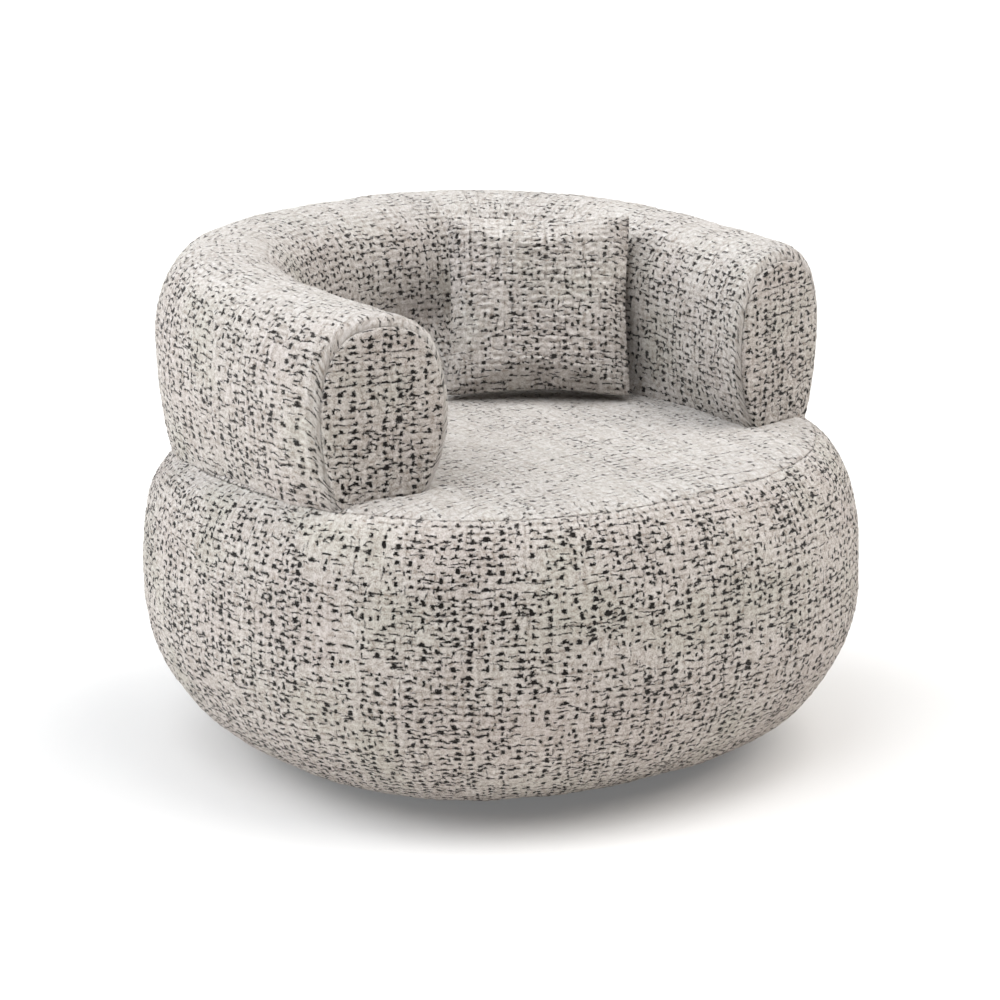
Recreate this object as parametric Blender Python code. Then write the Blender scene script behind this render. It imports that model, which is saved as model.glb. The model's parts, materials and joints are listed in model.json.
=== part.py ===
# Swivel barrel chair: a rounded upholstered seat drum on a recessed turntable,
# a C-shaped padded back roll that ends in two arm faces, and one loose pillow.
# Metres, +Z up, the front of the chair faces -Y, the floor is at z = 0.

import math

import bmesh
import bpy
from mathutils import Matrix, Vector

# Fits
FIT_GAP = 0.0003
COVER_THICKNESS = 0.003
LAYER_GAP = 0.0005
POST_CLEARANCE = 0.0008

# Base and turntable
GLIDE_HEIGHT = 0.005
GLIDE_RADIUS = 0.017
GLIDE_COUNT = 6
GLIDE_EDGE_MARGIN = 0.034
PLATE_RADIUS = 0.260
PLATE_THICKNESS = 0.009
BALL_RADIUS = 0.004
BALL_COUNT = 12
RACE_RADIUS = 0.1275
RACE_CLEARANCE = 0.0007
RACE_WALL = 0.0055
RING_PLATE = 0.003
RING_FLANGE = 0.029
CAGE_HALF_WIDTH = 0.0026
CAGE_THICKNESS = 0.0012
SCREW_COUNT = 4
SCREW_RADIUS = 0.0024
SCREW_HEAD_RADIUS = 0.0046
SCREW_HEAD_HEIGHT = 0.0022
SCREW_LENGTH = 0.0075
SCREW_EDGE_MARGIN = 0.010

# Seat drum, outside of the cover
SEAT_HALF_WIDTH = 0.500
SEAT_HALF_DEPTH = 0.476
SEAT_PLAN_POWER = 2.26
BELLY_HEIGHT = 0.2096
SHOULDER_HEIGHT = 0.2229
SEAT_CROWN = 0.010
BELLY_ROUND = 0.166
BELLY_POWER = 1.80
SHOULDER_ROUND = 0.129
SHOULDER_POWER = 2.835
SEAM_INSET = 0.065
COVER_LIP = 0.010
LIP_DROP = 0.0069

# Seat frame and suspension
BOARD_THICKNESS = 0.015
BOARD_INSET = 0.150
SEAT_POST_HEIGHT = 0.278
SEAT_POST_SIDE = 0.040
SEAT_POST_INSET = 0.200
SEAT_POST_ANGLES = (25, 90, 155, 205, 270, 335)
FRAME_RING_THICKNESS = 0.018
FRAME_RING_INSET = 0.053
FRAME_RING_WIDTH = 0.180
SIDE_FOAM_THICKNESS = 0.038
WIRE_RADIUS = 0.002
SPRING_COUNT = 5
SPRING_SPACING = 0.078
SPRING_HALF_WIDTH = 0.022
SPRING_PITCH = 0.070
CLIP_CLEARANCE = 0.0004
CLIP_WALL = 0.0012
CLIP_FLANGE = 0.014
CLIP_MARGIN = 0.020
PAD_THICKNESS = 0.003
DUST_COVER_THICKNESS = 0.001

# Back roll, outside of the cover
BACK_HALF_THICKNESS = 0.0975
BACK_LINE_SIDE_INSET = 0.148
BACK_LINE_REAR_INSET = 0.0545
BACK_LINE_POWER = 2.59
BACK_LINE_SHIFT = -0.0244
BACK_END_ANGLE = 19.2
BACK_END_ROUND = 0.012
BACK_END_DROP = 0.004
BACK_END_DROP_REACH = 0.050
BACK_END_TAPER = 0.008
BACK_FACE_TURN = 26.6
BACK_FACE_BLEND = 0.11
BACK_RISE = 0.2538
BACK_ARM_DROP = 0.007
BACK_WIDEST_RISE = 0.1056
BACK_SECTION_POWER = 2.54
BACK_OUTER_FOOT_ARM = 0.080
BACK_OUTER_FOOT_REAR = 0.036
BACK_TUCK_START_SHARE = 0.55
BACK_TUCK_SPAN_SHARE = 0.35
BACK_INNER_FOOT_ARM = 0.0763
BACK_INNER_FOOT_REAR = 0.245
BACK_FLANK_POWER = 2.0
BACK_INNER_LEAN = 0.20
BACK_ROOT = 0.110
ARM_PAD_THICKNESS = 0.005
ARM_PAD_ROUND = 0.004
ARM_PAD_SWELL = 0.003
ARM_BOARD_THICKNESS = 0.015
ARM_BOARD_MARGIN = 0.016

# Back frame
BACK_POST_SIDE = 0.034
BACK_POST_COUNT = 6
BACK_POST_END_MARGIN = 0.075
RAIL_WIDTH = 0.056
RAIL_THICKNESS = 0.0175
RAIL_COVERING = 0.052
RAIL_END_MARGIN = 0.045
FRAME_CHANNEL_GAP = 0.004
FOAM_END_MARGIN = 0.029

# Pillow
PILLOW_WIDTH = 0.275
PILLOW_HEIGHT = 0.273
PILLOW_THICKNESS = 0.098
PILLOW_EDGE = 0.0032
PILLOW_SIDE_DRAW = 0.012
PILLOW_FULLNESS = 0.46
PILLOW_SIDE_INSET = 0.397
PILLOW_REAR_INSET = 0.423
PILLOW_FOOT_RISE = 0.0015
PILLOW_TURN = -35.4
PILLOW_LEAN = 22.0

# Mesh fineness
SEGMENTS = 42
RING_SEGMENTS = 36
BACK_STATIONS = 20
FLANK_STEPS = 3
ARCH_STEPS = 6
FOAM_SPLIT = 7
PILLOW_CELLS = 12

# Heights that follow from the stack
PLATE_BOTTOM = GLIDE_HEIGHT + FIT_GAP
PLATE_TOP = PLATE_BOTTOM + PLATE_THICKNESS
RACE_OFFSET = BALL_RADIUS + RACE_CLEARANCE
BEARING_HALF = RACE_OFFSET + RACE_WALL
BEARING_BOTTOM = PLATE_TOP + FIT_GAP
BALL_CENTRE = BEARING_BOTTOM + BEARING_HALF
BEARING_TOP = BALL_CENTRE + BEARING_HALF
BOARD_BOTTOM = BEARING_TOP + FIT_GAP
BOARD_TOP = BOARD_BOTTOM + BOARD_THICKNESS
UNDERSIDE = BOARD_BOTTOM - LIP_DROP
WIDEST = UNDERSIDE + BELLY_HEIGHT
SEAT_EDGE = WIDEST + SHOULDER_HEIGHT
FRAME_RING_BOTTOM = BOARD_TOP + SEAT_POST_HEIGHT + 2 * FIT_GAP
FRAME_RING_TOP = FRAME_RING_BOTTOM + FRAME_RING_THICKNESS
CLIP_INNER = WIRE_RADIUS + CLIP_CLEARANCE
CLIP_OUTER = CLIP_INNER + CLIP_WALL
WIRE_CENTRE = FRAME_RING_TOP + FIT_GAP + CLIP_OUTER
PAD_BOTTOM = WIRE_CENTRE + CLIP_OUTER + FIT_GAP
PAD_TOP = PAD_BOTTOM + PAD_THICKNESS
CUSHION_BOTTOM = PAD_TOP + FIT_GAP
BACK_LINE_HALF_WIDTH = SEAT_HALF_WIDTH - BACK_LINE_SIDE_INSET
BACK_LINE_HALF_DEPTH = SEAT_HALF_DEPTH - BACK_LINE_REAR_INSET
PILLOW_FOOT = (SEAT_HALF_WIDTH - PILLOW_SIDE_INSET, SEAT_HALF_DEPTH - PILLOW_REAR_INSET)
BACK_TOP = SEAT_EDGE + BACK_RISE
BACK_WIDEST = SEAT_EDGE + BACK_WIDEST_RISE
RAIL_TOP = BACK_TOP - RAIL_COVERING
RAIL_BOTTOM = RAIL_TOP - RAIL_THICKNESS
FOAM_DEPTH = COVER_THICKNESS + LAYER_GAP


def power_of(value, exponent):
    return math.copysign(abs(value) ** exponent, value)


def superellipse(angle, half_x, half_y, power):
    return Vector((
        half_x * power_of(math.cos(angle), 2 / power),
        half_y * power_of(math.sin(angle), 2 / power),
    ))


# Scene, materials and meshes

def clear_scene():
    for obj in list(bpy.data.objects):
        bpy.data.objects.remove(obj, do_unlink=True)


def make_material(name, colour, roughness, metallic=0.0):
    material = bpy.data.materials.new(name)
    material.use_nodes = True
    shader = material.node_tree.nodes["Principled BSDF"]
    shader.inputs["Base Color"].default_value = (*colour, 1.0)
    shader.inputs["Roughness"].default_value = roughness
    shader.inputs["Metallic"].default_value = metallic
    material.diffuse_color = (*colour, 1.0)
    return material


def make_materials():
    return {
        "tweed": make_material("chenille_tweed", (0.50, 0.47, 0.45), 0.95),
        "lining": make_material("black_lining", (0.02, 0.02, 0.02), 0.9),
        "felt": make_material("grey_felt", (0.20, 0.20, 0.20), 0.95),
        "foam": make_material("foam", (0.80, 0.72, 0.50), 0.9),
        "filling": make_material("fibre_filling", (0.85, 0.85, 0.85), 0.95),
        "plywood": make_material("plywood", (0.55, 0.38, 0.22), 0.6),
        "pine": make_material("pine", (0.66, 0.48, 0.28), 0.6),
        "board": make_material("black_board", (0.03, 0.03, 0.03), 0.5),
        "steel": make_material("zinc_steel", (0.62, 0.62, 0.62), 0.35, 1.0),
        "nylon": make_material("nylon", (0.04, 0.04, 0.04), 0.5),
    }


def add_object(name, mesh, material, parent=None):
    obj = bpy.data.objects.new(name, mesh)
    bpy.context.scene.collection.objects.link(obj)
    mesh.materials.append(material)
    mesh.shade_smooth()
    mesh.set_sharp_from_angle(angle=math.radians(40))
    obj.parent = parent
    return obj


def add_empty(name, location=(0, 0, 0), rotation=(0, 0, 0), parent=None):
    empty = bpy.data.objects.new(name, None)
    bpy.context.scene.collection.objects.link(empty)
    empty.location = location
    empty.rotation_euler = rotation
    empty.parent = parent
    return empty


def finish_mesh(name, bm):
    bmesh.ops.recalc_face_normals(bm, faces=bm.faces)
    mesh = bpy.data.meshes.new(name)
    bm.to_mesh(mesh)
    bm.free()
    return mesh


def join_rows(bm, first, second, turned_columns=()):
    """Triangles between two closed rows of vertices. A row of one vertex is a pole.

    In the turned columns the other diagonal is used, so that two layers of one
    skin that are drawn in opposite directions are split alike and stay apart.
    """
    count = max(len(first), len(second))
    for i in range(count):
        j = (i + 1) % count
        if len(first) == 1:
            bm.faces.new((first[0], second[j], second[i]))
        elif len(second) == 1:
            bm.faces.new((first[i], first[j], second[0]))
        elif i in turned_columns:
            bm.faces.new((first[i], first[j], second[i]))
            bm.faces.new((first[j], second[j], second[i]))
        else:
            bm.faces.new((first[i], first[j], second[j]))
            bm.faces.new((first[i], second[j], second[i]))


def loft(
    name, rows, wrap_rows=False, cap_ends=False, paired_caps=False, turned_rows=(), turned_columns=()
):
    """A closed mesh from rows of points, each row a closed loop or one pole."""
    bm = bmesh.new()
    made = [[bm.verts.new(point) for point in row] for row in rows]
    pairs = list(zip(made, made[1:])) + ([(made[-1], made[0])] if wrap_rows else [])
    for i, (first, second) in enumerate(pairs):
        columns = range(len(first)) if i in turned_rows else turned_columns
        join_rows(bm, first, second, columns)
    for row in (made[0], made[-1]) if cap_ends else ():
        if paired_caps:
            for i in range(len(row) // 2 - 1):
                bm.faces.new((row[i], row[i + 1], row[-2 - i], row[-1 - i]))
        else:
            bm.faces.new(row)
    return finish_mesh(name, bm)


def extrude_outline(name, outline, direction):
    bm = bmesh.new()
    face = bm.faces.new([bm.verts.new(point) for point in outline])
    moved = bmesh.ops.extrude_face_region(bm, geom=[face])["geom"]
    corners = [item for item in moved if isinstance(item, bmesh.types.BMVert)]
    bmesh.ops.translate(bm, vec=direction, verts=corners)
    return finish_mesh(name, bm)


def turned(name, profile, segments):
    """A body of revolution about Z from a closed loop of (radius, z)."""
    rows = []
    for radius, z in profile:
        if radius == 0:
            rows.append([Vector((0, 0, z))])
            continue
        rows.append([
            Vector((radius * math.cos(a), radius * math.sin(a), z))
            for a in (2 * math.pi * i / segments for i in range(segments))
        ])
    return loft(name, rows, wrap_rows=profile[0][0] > 0)


def box_mesh(name, size, centre, turn=0.0):
    bm = bmesh.new()
    bmesh.ops.create_cube(bm, size=1.0)
    place = Matrix.Translation(centre) @ Matrix.Rotation(turn, 4, "Z") @ Matrix.Diagonal((*size, 1))
    bmesh.ops.transform(bm, matrix=place, verts=bm.verts)
    return finish_mesh(name, bm)


def add_cutter(name, mesh):
    cutter = bpy.data.objects.new(name, mesh)
    bpy.context.scene.collection.objects.link(cutter)
    cutter.hide_render = True
    cutter.display_type = "WIRE"
    return cutter


def combine(obj, tool, operation="DIFFERENCE"):
    modifier = obj.modifiers.new(operation.title(), "BOOLEAN")
    modifier.operation = operation
    modifier.solver = "EXACT"
    modifier.object = tool
    return modifier


# Seat drum surfaces, all at a stated depth inside the cover

def plan_ring(inset, share, z):
    ring = []
    for i in range(SEGMENTS):
        edge = superellipse(
            2 * math.pi * i / SEGMENTS, SEAT_HALF_WIDTH, SEAT_HALF_DEPTH, SEAT_PLAN_POWER
        )
        point = edge * ((1 - inset / edge.length) * share)
        ring.append(Vector((point.x, point.y, z)))
    return ring


def profile_rows(profile):
    """Rows of points from (inset, share, z); a share of 0 is the pole."""
    return [
        [Vector((0, 0, z))] if share == 0 else plan_ring(inset, share, z)
        for inset, share, z in profile
    ]


def shoulder(depth, turn):
    across = math.cos(turn) ** (2 / SHOULDER_POWER)
    up = math.sin(turn) ** (2 / SHOULDER_POWER)
    return (depth + SHOULDER_ROUND * (1 - across), 1.0, WIDEST + (SHOULDER_HEIGHT - depth) * up)


def belly(depth, turn):
    across = math.cos(turn) ** (2 / BELLY_POWER)
    down = math.sin(turn) ** (2 / BELLY_POWER)
    return (depth + BELLY_ROUND * (1 - across), 1.0, WIDEST - (BELLY_HEIGHT - depth) * down)


def shoulder_turn_at_inset(inset):
    across = 1 - inset / SHOULDER_ROUND
    return math.acos(across ** (SHOULDER_POWER / 2))


def shoulder_turn_at_height(depth, z):
    up = (z - WIDEST) / (SHOULDER_HEIGHT - depth)
    return math.asin(up ** (SHOULDER_POWER / 2))


SEAM_TURN = shoulder_turn_at_inset(SEAM_INSET)
SPLIT_TURN = shoulder_turn_at_height(FOAM_DEPTH, CUSHION_BOTTOM)
BELLY_TURNS = [math.radians(a) for a in (86, 74, 58, 40, 20)]
BELLY_FOAM_TURNS = BELLY_TURNS[1:]
LOWER_SHOULDER_TURNS = [0.0, SPLIT_TURN * 0.55, SPLIT_TURN]
UPPER_SHOULDER_TURNS = [SPLIT_TURN + (SEAM_TURN - SPLIT_TURN) * k / 3 for k in (1, 2, 3)]
CROWN_TURNS = [SEAM_TURN + (math.pi / 2 - SEAM_TURN) * k / 2 for k in (1, 2)]
CROWN_SHARES = (0.80, 0.50, 0.25, 0.0)


def crown_profile(depth):
    return [
        (depth + SHOULDER_ROUND, share, SEAT_EDGE - depth + SEAT_CROWN * (1 - share ** 2))
        for share in CROWN_SHARES
    ]


def top_profile(depth):
    return [shoulder(depth, turn) for turn in CROWN_TURNS] + crown_profile(depth)


def side_profile(depth):
    return (
        [belly(depth, turn) for turn in BELLY_TURNS]
        + [shoulder(depth, turn) for turn in LOWER_SHOULDER_TURNS + UPPER_SHOULDER_TURNS]
    )


def seat_envelope():
    """The whole drum, a layer gap larger, for cutting what stands on it."""
    grown = -LAYER_GAP
    flat = (belly(grown, BELLY_TURNS[0])[0], 0.0, UNDERSIDE - LAYER_GAP)
    return loft("seat_envelope", profile_rows([flat] + side_profile(grown) + top_profile(grown)))


def seat_surface_height(x, y):
    distance = math.hypot(x, y)
    reach = (abs(x) / SEAT_HALF_WIDTH) ** SEAT_PLAN_POWER
    reach += (abs(y) / SEAT_HALF_DEPTH) ** SEAT_PLAN_POWER
    edge = distance / reach ** (1 / SEAT_PLAN_POWER)
    inset = min(max(edge - distance, 0.0), SHOULDER_ROUND)
    across = 1 - inset / SHOULDER_ROUND
    return WIDEST + SHOULDER_HEIGHT * (1 - across ** SHOULDER_POWER) ** (1 / SHOULDER_POWER)


# Base and turntable pieces

def screw_angles():
    return [math.tau * (i + 0.5) / SCREW_COUNT for i in range(SCREW_COUNT)]


LOWER_SCREW_RADIUS = RACE_RADIUS + RACE_WALL + RING_FLANGE - SCREW_EDGE_MARGIN
UPPER_SCREW_RADIUS = RACE_RADIUS - RACE_WALL - RING_FLANGE + SCREW_EDGE_MARGIN


def screw_holes(name, circle, low, high):
    """One mesh that holds the clearance holes of a ring of screws."""
    bm = bmesh.new()
    for angle in screw_angles():
        centre = (circle * math.cos(angle), circle * math.sin(angle), (low + high) / 2)
        bmesh.ops.create_cone(
            bm, cap_ends=True, segments=8, depth=high - low,
            radius1=SCREW_RADIUS + FIT_GAP, radius2=SCREW_RADIUS + FIT_GAP,
            matrix=Matrix.Translation(centre),
        )
    return add_cutter(name, finish_mesh(name, bm))


def add_base_plate(materials):
    hole_cut = screw_holes(
        "lower_screw_hole_cutter", LOWER_SCREW_RADIUS,
        PLATE_TOP - SCREW_LENGTH, BEARING_BOTTOM + BEARING_HALF,
    )
    plate = turned(
        "base_plate",
        [(0, PLATE_BOTTOM), (PLATE_RADIUS, PLATE_BOTTOM), (PLATE_RADIUS, PLATE_TOP), (0, PLATE_TOP)],
        SEGMENTS,
    )
    combine(add_object("base_plate", plate, materials["board"]), hole_cut)
    return hole_cut


def add_glides(materials):
    circle = PLATE_RADIUS - GLIDE_EDGE_MARGIN
    chamfer = GLIDE_HEIGHT * 0.2
    profile = [
        (0, 0), (GLIDE_RADIUS - chamfer, 0), (GLIDE_RADIUS, chamfer),
        (GLIDE_RADIUS, GLIDE_HEIGHT), (0, GLIDE_HEIGHT),
    ]
    for i in range(GLIDE_COUNT):
        angle = math.tau * i / GLIDE_COUNT
        glide = add_object(f"floor_glide_{i + 1}", turned("floor_glide", profile, 14), materials["nylon"])
        glide.location = (circle * math.cos(angle), circle * math.sin(angle), 0)


def race_profile(side):
    """Section of one turntable ring; side is -1 for the lower, 1 for the upper."""
    lip = BALL_CENTRE + side * RACE_CLEARANCE * 4
    plate_face = BALL_CENTRE + side * (BEARING_HALF - RING_PLATE)
    back_face = BALL_CENTRE + side * BEARING_HALF
    groove = []
    for step in range(5):
        angle = math.radians(-60 + 30 * step)
        radius = RACE_RADIUS + RACE_OFFSET * math.sin(angle)
        groove.append((radius, BALL_CENTRE + side * RACE_OFFSET * math.cos(angle)))
    outer = RACE_RADIUS + RACE_WALL + (RING_FLANGE if side < 0 else 0)
    inner = RACE_RADIUS - RACE_WALL - (RING_FLANGE if side > 0 else 0)
    profile = [(inner, back_face)]
    if side > 0:
        profile += [(inner, plate_face), (RACE_RADIUS - RACE_WALL, plate_face)]
    profile += [(RACE_RADIUS - RACE_WALL, lip)] + groove + [(RACE_RADIUS + RACE_WALL, lip)]
    if side < 0:
        profile += [(RACE_RADIUS + RACE_WALL, plate_face), (outer, plate_face)]
    return profile + [(outer, back_face)]


def add_screw(name, angle, circle, seat, side, material, parent):
    """A pan-head screw; side is the way the head faces."""
    reach = RING_PLATE + SCREW_LENGTH - FIT_GAP
    profile = [
        (0, side * SCREW_HEAD_HEIGHT), (SCREW_HEAD_RADIUS * 0.75, side * SCREW_HEAD_HEIGHT),
        (SCREW_HEAD_RADIUS, 0), (SCREW_RADIUS, 0),
        (SCREW_RADIUS, -side * (reach - SCREW_RADIUS)), (0, -side * reach),
    ]
    screw = add_object(name, turned("pan_screw", profile, 8), material, parent)
    screw.location = (circle * math.cos(angle), circle * math.sin(angle), seat + side * FIT_GAP)


def add_turntable(materials, cage_swivel, seat_swivel, lower_cut):
    lower = add_object(
        "bearing_lower_ring", turned("bearing_lower_ring", race_profile(-1), RING_SEGMENTS), materials["steel"]
    )
    combine(lower, lower_cut)
    upper = add_object(
        "bearing_upper_ring", turned("bearing_upper_ring", race_profile(1), RING_SEGMENTS),
        materials["steel"], seat_swivel,
    )
    upper_cut = screw_holes(
        "upper_screw_hole_cutter", UPPER_SCREW_RADIUS,
        BALL_CENTRE, BOARD_BOTTOM + SCREW_LENGTH,
    )
    combine(upper, upper_cut)
    for i, angle in enumerate(screw_angles()):
        face = BEARING_BOTTOM + RING_PLATE
        add_screw(f"bearing_screw_lower_{i + 1}", angle, LOWER_SCREW_RADIUS, face, 1, materials["steel"], None)
        face = BEARING_TOP - RING_PLATE
        add_screw(
            f"bearing_screw_upper_{i + 1}", angle, UPPER_SCREW_RADIUS, face, -1, materials["steel"], seat_swivel
        )
    low, high = BALL_CENTRE - CAGE_THICKNESS / 2, BALL_CENTRE + CAGE_THICKNESS / 2
    inner, outer = RACE_RADIUS - CAGE_HALF_WIDTH, RACE_RADIUS + CAGE_HALF_WIDTH
    strip = turned("ball_cage", [(inner, low), (outer, low), (outer, high), (inner, high)], BALL_COUNT * 4)
    cage = add_object("ball_cage", strip, materials["nylon"], cage_swivel)
    bm = bmesh.new()
    for i in range(BALL_COUNT):
        angle = math.tau * (i + 0.5) / BALL_COUNT
        centre = (RACE_RADIUS * math.cos(angle), RACE_RADIUS * math.sin(angle), BALL_CENTRE)
        bmesh.ops.create_uvsphere(
            bm, u_segments=6, v_segments=4, radius=BALL_RADIUS, matrix=Matrix.Translation(centre)
        )
    combine(cage, add_cutter("ball_set", finish_mesh("ball_set", bm)), "UNION")
    return upper_cut


# Seat frame and suspension

def frame_profile(inset, width, low, high):
    return [(inset, 1, low), (inset, 1, high), (inset + width, 1, high), (inset + width, 1, low)]


def add_seat_frame(materials, swivel, upper_cut):
    board = profile_rows([
        (0, 0, BOARD_BOTTOM), (BOARD_INSET, 1, BOARD_BOTTOM), (BOARD_INSET, 1, BOARD_TOP), (0, 0, BOARD_TOP)
    ])
    bottom_board = add_object("bottom_board", loft("bottom_board", board), materials["plywood"], swivel)
    combine(bottom_board, upper_cut)
    ring = frame_profile(FRAME_RING_INSET, FRAME_RING_WIDTH, FRAME_RING_BOTTOM, FRAME_RING_TOP)
    ring_mesh = loft("seat_frame_ring", profile_rows(ring), wrap_rows=True)
    add_object("seat_frame_ring", ring_mesh, materials["plywood"], swivel)
    for i, degrees in enumerate(SEAT_POST_ANGLES):
        edge = superellipse(math.radians(degrees), SEAT_HALF_WIDTH, SEAT_HALF_DEPTH, SEAT_PLAN_POWER)
        place = edge * (1 - SEAT_POST_INSET / edge.length)
        centre = Vector((place.x, place.y, BOARD_TOP + FIT_GAP + SEAT_POST_HEIGHT / 2))
        size = (SEAT_POST_SIDE, SEAT_POST_SIDE, SEAT_POST_HEIGHT)
        mesh = box_mesh(f"seat_post_{i + 1}", size, centre, math.atan2(place.y, place.x))
        add_object(f"seat_post_{i + 1}", mesh, materials["pine"], swivel)


def spring_end():
    """Distance from the middle to the end bar of every spring, over the frame ring."""
    return SEAT_HALF_DEPTH - FRAME_RING_INSET - FRAME_RING_WIDTH + CLIP_MARGIN


def add_spring(name, x, material, parent):
    end = spring_end()
    waves = max(2, round(2 * end / SPRING_PITCH))
    steps = waves * 6
    points = [(x - SPRING_HALF_WIDTH, -end)]
    for i in range(1, steps):
        y = -end + 2 * end * i / steps
        sway = math.cos(math.tau * waves * i / steps + math.pi)
        points.append((x + SPRING_HALF_WIDTH * power_of(sway, 0.6), y))
    points += [(x - SPRING_HALF_WIDTH, end)]
    points = [(x + SPRING_HALF_WIDTH, -end)] + points + [(x + SPRING_HALF_WIDTH, end)]
    curve = bpy.data.curves.new(name, "CURVE")
    curve.dimensions = "3D"
    curve.bevel_depth = WIRE_RADIUS
    curve.bevel_resolution = 0
    curve.use_fill_caps = True
    spline = curve.splines.new("POLY")
    spline.points.add(len(points) - 1)
    for target, (px, py) in zip(spline.points, points):
        target.co = (px, py, WIRE_CENTRE, 1)
    curve.materials.append(material)
    spring = bpy.data.objects.new(name, curve)
    bpy.context.scene.collection.objects.link(spring)
    spring.parent = parent


def rail_section(side):
    """Curled clip rail round the end bars; side is the way it faces away from the middle."""
    inner = [math.radians(a) for a in (75, 125, 180, 235, 285)]
    outer = [math.radians(a) for a in (285, 262)]
    after = [math.radians(a) for a in (222, 180, 125, 75)]
    points = [(CLIP_INNER * math.cos(a), CLIP_INNER * math.sin(a)) for a in inner]
    points += [(CLIP_OUTER * math.cos(a), CLIP_OUTER * math.sin(a)) for a in outer]
    points += [(-CLIP_FLANGE, -CLIP_OUTER), (-CLIP_FLANGE, -CLIP_OUTER + CLIP_WALL)]
    points += [(CLIP_OUTER * math.cos(a), CLIP_OUTER * math.sin(a)) for a in after]
    return [(side * (spring_end() - y), WIRE_CENTRE + z) for y, z in points]


def add_suspension(materials, swivel):
    middle = (SPRING_COUNT - 1) / 2
    for i in range(SPRING_COUNT):
        add_spring(f"spring_{i + 1}", (i - middle) * SPRING_SPACING, materials["steel"], swivel)
    half = middle * SPRING_SPACING + SPRING_HALF_WIDTH + CLIP_MARGIN
    for name, side in (("spring_rail_front", -1), ("spring_rail_rear", 1)):
        outline = [Vector((-half, y, z)) for y, z in rail_section(side)]
        mesh = extrude_outline(name, outline, (2 * half, 0, 0))
        add_object(name, mesh, materials["steel"], swivel)
    inset = FRAME_RING_INSET + FRAME_RING_WIDTH - CLIP_MARGIN / 2
    pad = profile_rows([
        (0, 0, PAD_BOTTOM), (inset, 1, PAD_BOTTOM), (inset, 1, PAD_TOP), (0, 0, PAD_TOP)
    ])
    add_object("deck_pad", loft("deck_pad", pad), materials["felt"], swivel)


# Seat foam and covers

def side_foam_mesh():
    turns = [belly(FOAM_DEPTH, t) for t in BELLY_FOAM_TURNS]
    turns += [shoulder(FOAM_DEPTH, t) for t in LOWER_SHOULDER_TURNS]
    deep = FOAM_DEPTH + SIDE_FOAM_THICKNESS
    inner = [belly(deep, t) for t in BELLY_FOAM_TURNS]
    inner += [shoulder(deep, t) for t in LOWER_SHOULDER_TURNS]
    inset, share, z = turns[-1]
    turns[-1] = (inset + LAYER_GAP, share, z - LAYER_GAP)
    return loft("side_foam", profile_rows(turns + inner[::-1]), wrap_rows=True)


def cushion_foam_mesh():
    first = shoulder(FOAM_DEPTH, SPLIT_TURN)
    outside = [first] + [shoulder(FOAM_DEPTH, t) for t in UPPER_SHOULDER_TURNS]
    profile = [(0, 0, CUSHION_BOTTOM)] + outside + top_profile(FOAM_DEPTH)
    return loft("cushion_foam", profile_rows(profile))


def band_cover_mesh():
    outside, inside = side_profile(0.0), side_profile(COVER_THICKNESS)
    lip = (outside[0][0] + COVER_LIP, 1.0, UNDERSIDE)
    lip_inside = (lip[0], 1.0, UNDERSIDE + COVER_THICKNESS)
    loop = [lip] + outside + inside[::-1] + [lip_inside]
    turned_rows = range(len(outside) + 1, len(loop))
    return loft("seat_band_cover", profile_rows(loop), wrap_rows=True, turned_rows=turned_rows)


def top_cover_mesh():
    """The seat panel, sewn to the band along the shoulder seam."""
    start = shoulder(0.0, SEAM_TURN)
    start_inside = shoulder(COVER_THICKNESS, SEAM_TURN)
    edge = (start[0] + LAYER_GAP, 1.0, start[2])
    edge_inside = (start_inside[0] + LAYER_GAP, 1.0, start_inside[2])
    outside, inside = top_profile(0.0), top_profile(COVER_THICKNESS)
    rows = profile_rows(inside[::-1] + [edge_inside, edge] + outside)
    return loft("seat_top_cover", rows, turned_rows=range(len(inside)))


def dust_cover_mesh():
    inset = belly(0.0, BELLY_TURNS[0])[0] + COVER_LIP + LAYER_GAP
    low, high = UNDERSIDE, UNDERSIDE + DUST_COVER_THICKNESS
    return loft("dust_cover", profile_rows([(0, 0, low), (inset, 1, low), (inset, 1, high), (0, 0, high)]))


def add_seat_upholstery(materials, swivel, post_cut):
    add_object("side_foam", side_foam_mesh(), materials["foam"], swivel)
    for name, mesh, kind in (
        ("cushion_foam", cushion_foam_mesh(), "foam"),
        ("seat_band_cover", band_cover_mesh(), "tweed"),
        ("seat_top_cover", top_cover_mesh(), "tweed"),
    ):
        combine(add_object(name, mesh, materials[kind], swivel), post_cut)
    dust = add_object("dust_cover", dust_cover_mesh(), materials["lining"], swivel)
    radius = RACE_RADIUS + RACE_WALL + RING_FLANGE + CLIP_MARGIN / 2
    reach = [(0, PLATE_TOP), (radius, PLATE_TOP), (radius, BOARD_BOTTOM), (0, BOARD_BOTTOM)]
    combine(dust, add_cutter("dust_cover_hole", turned("dust_cover_hole", reach, SEGMENTS)))


# Back roll: a line in plan, and a section across it at every station

def back_line():
    """Evenly spaced points along the roll's centre line, from the right arm round to the left."""
    start = -math.radians(BACK_END_ANGLE)
    stop = math.pi - start
    fine = 400
    points = []
    for i in range(fine + 1):
        angle = start + (stop - start) * i / fine
        point = superellipse(angle, BACK_LINE_HALF_WIDTH, BACK_LINE_HALF_DEPTH, BACK_LINE_POWER)
        points.append(point + Vector((0, BACK_LINE_SHIFT)))
    lengths = [0.0]
    for first, second in zip(points, points[1:]):
        lengths.append(lengths[-1] + (second - first).length)
    return points, lengths


LINE_POINTS, LINE_LENGTHS = back_line()
LINE_LENGTH = LINE_LENGTHS[-1]


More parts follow.
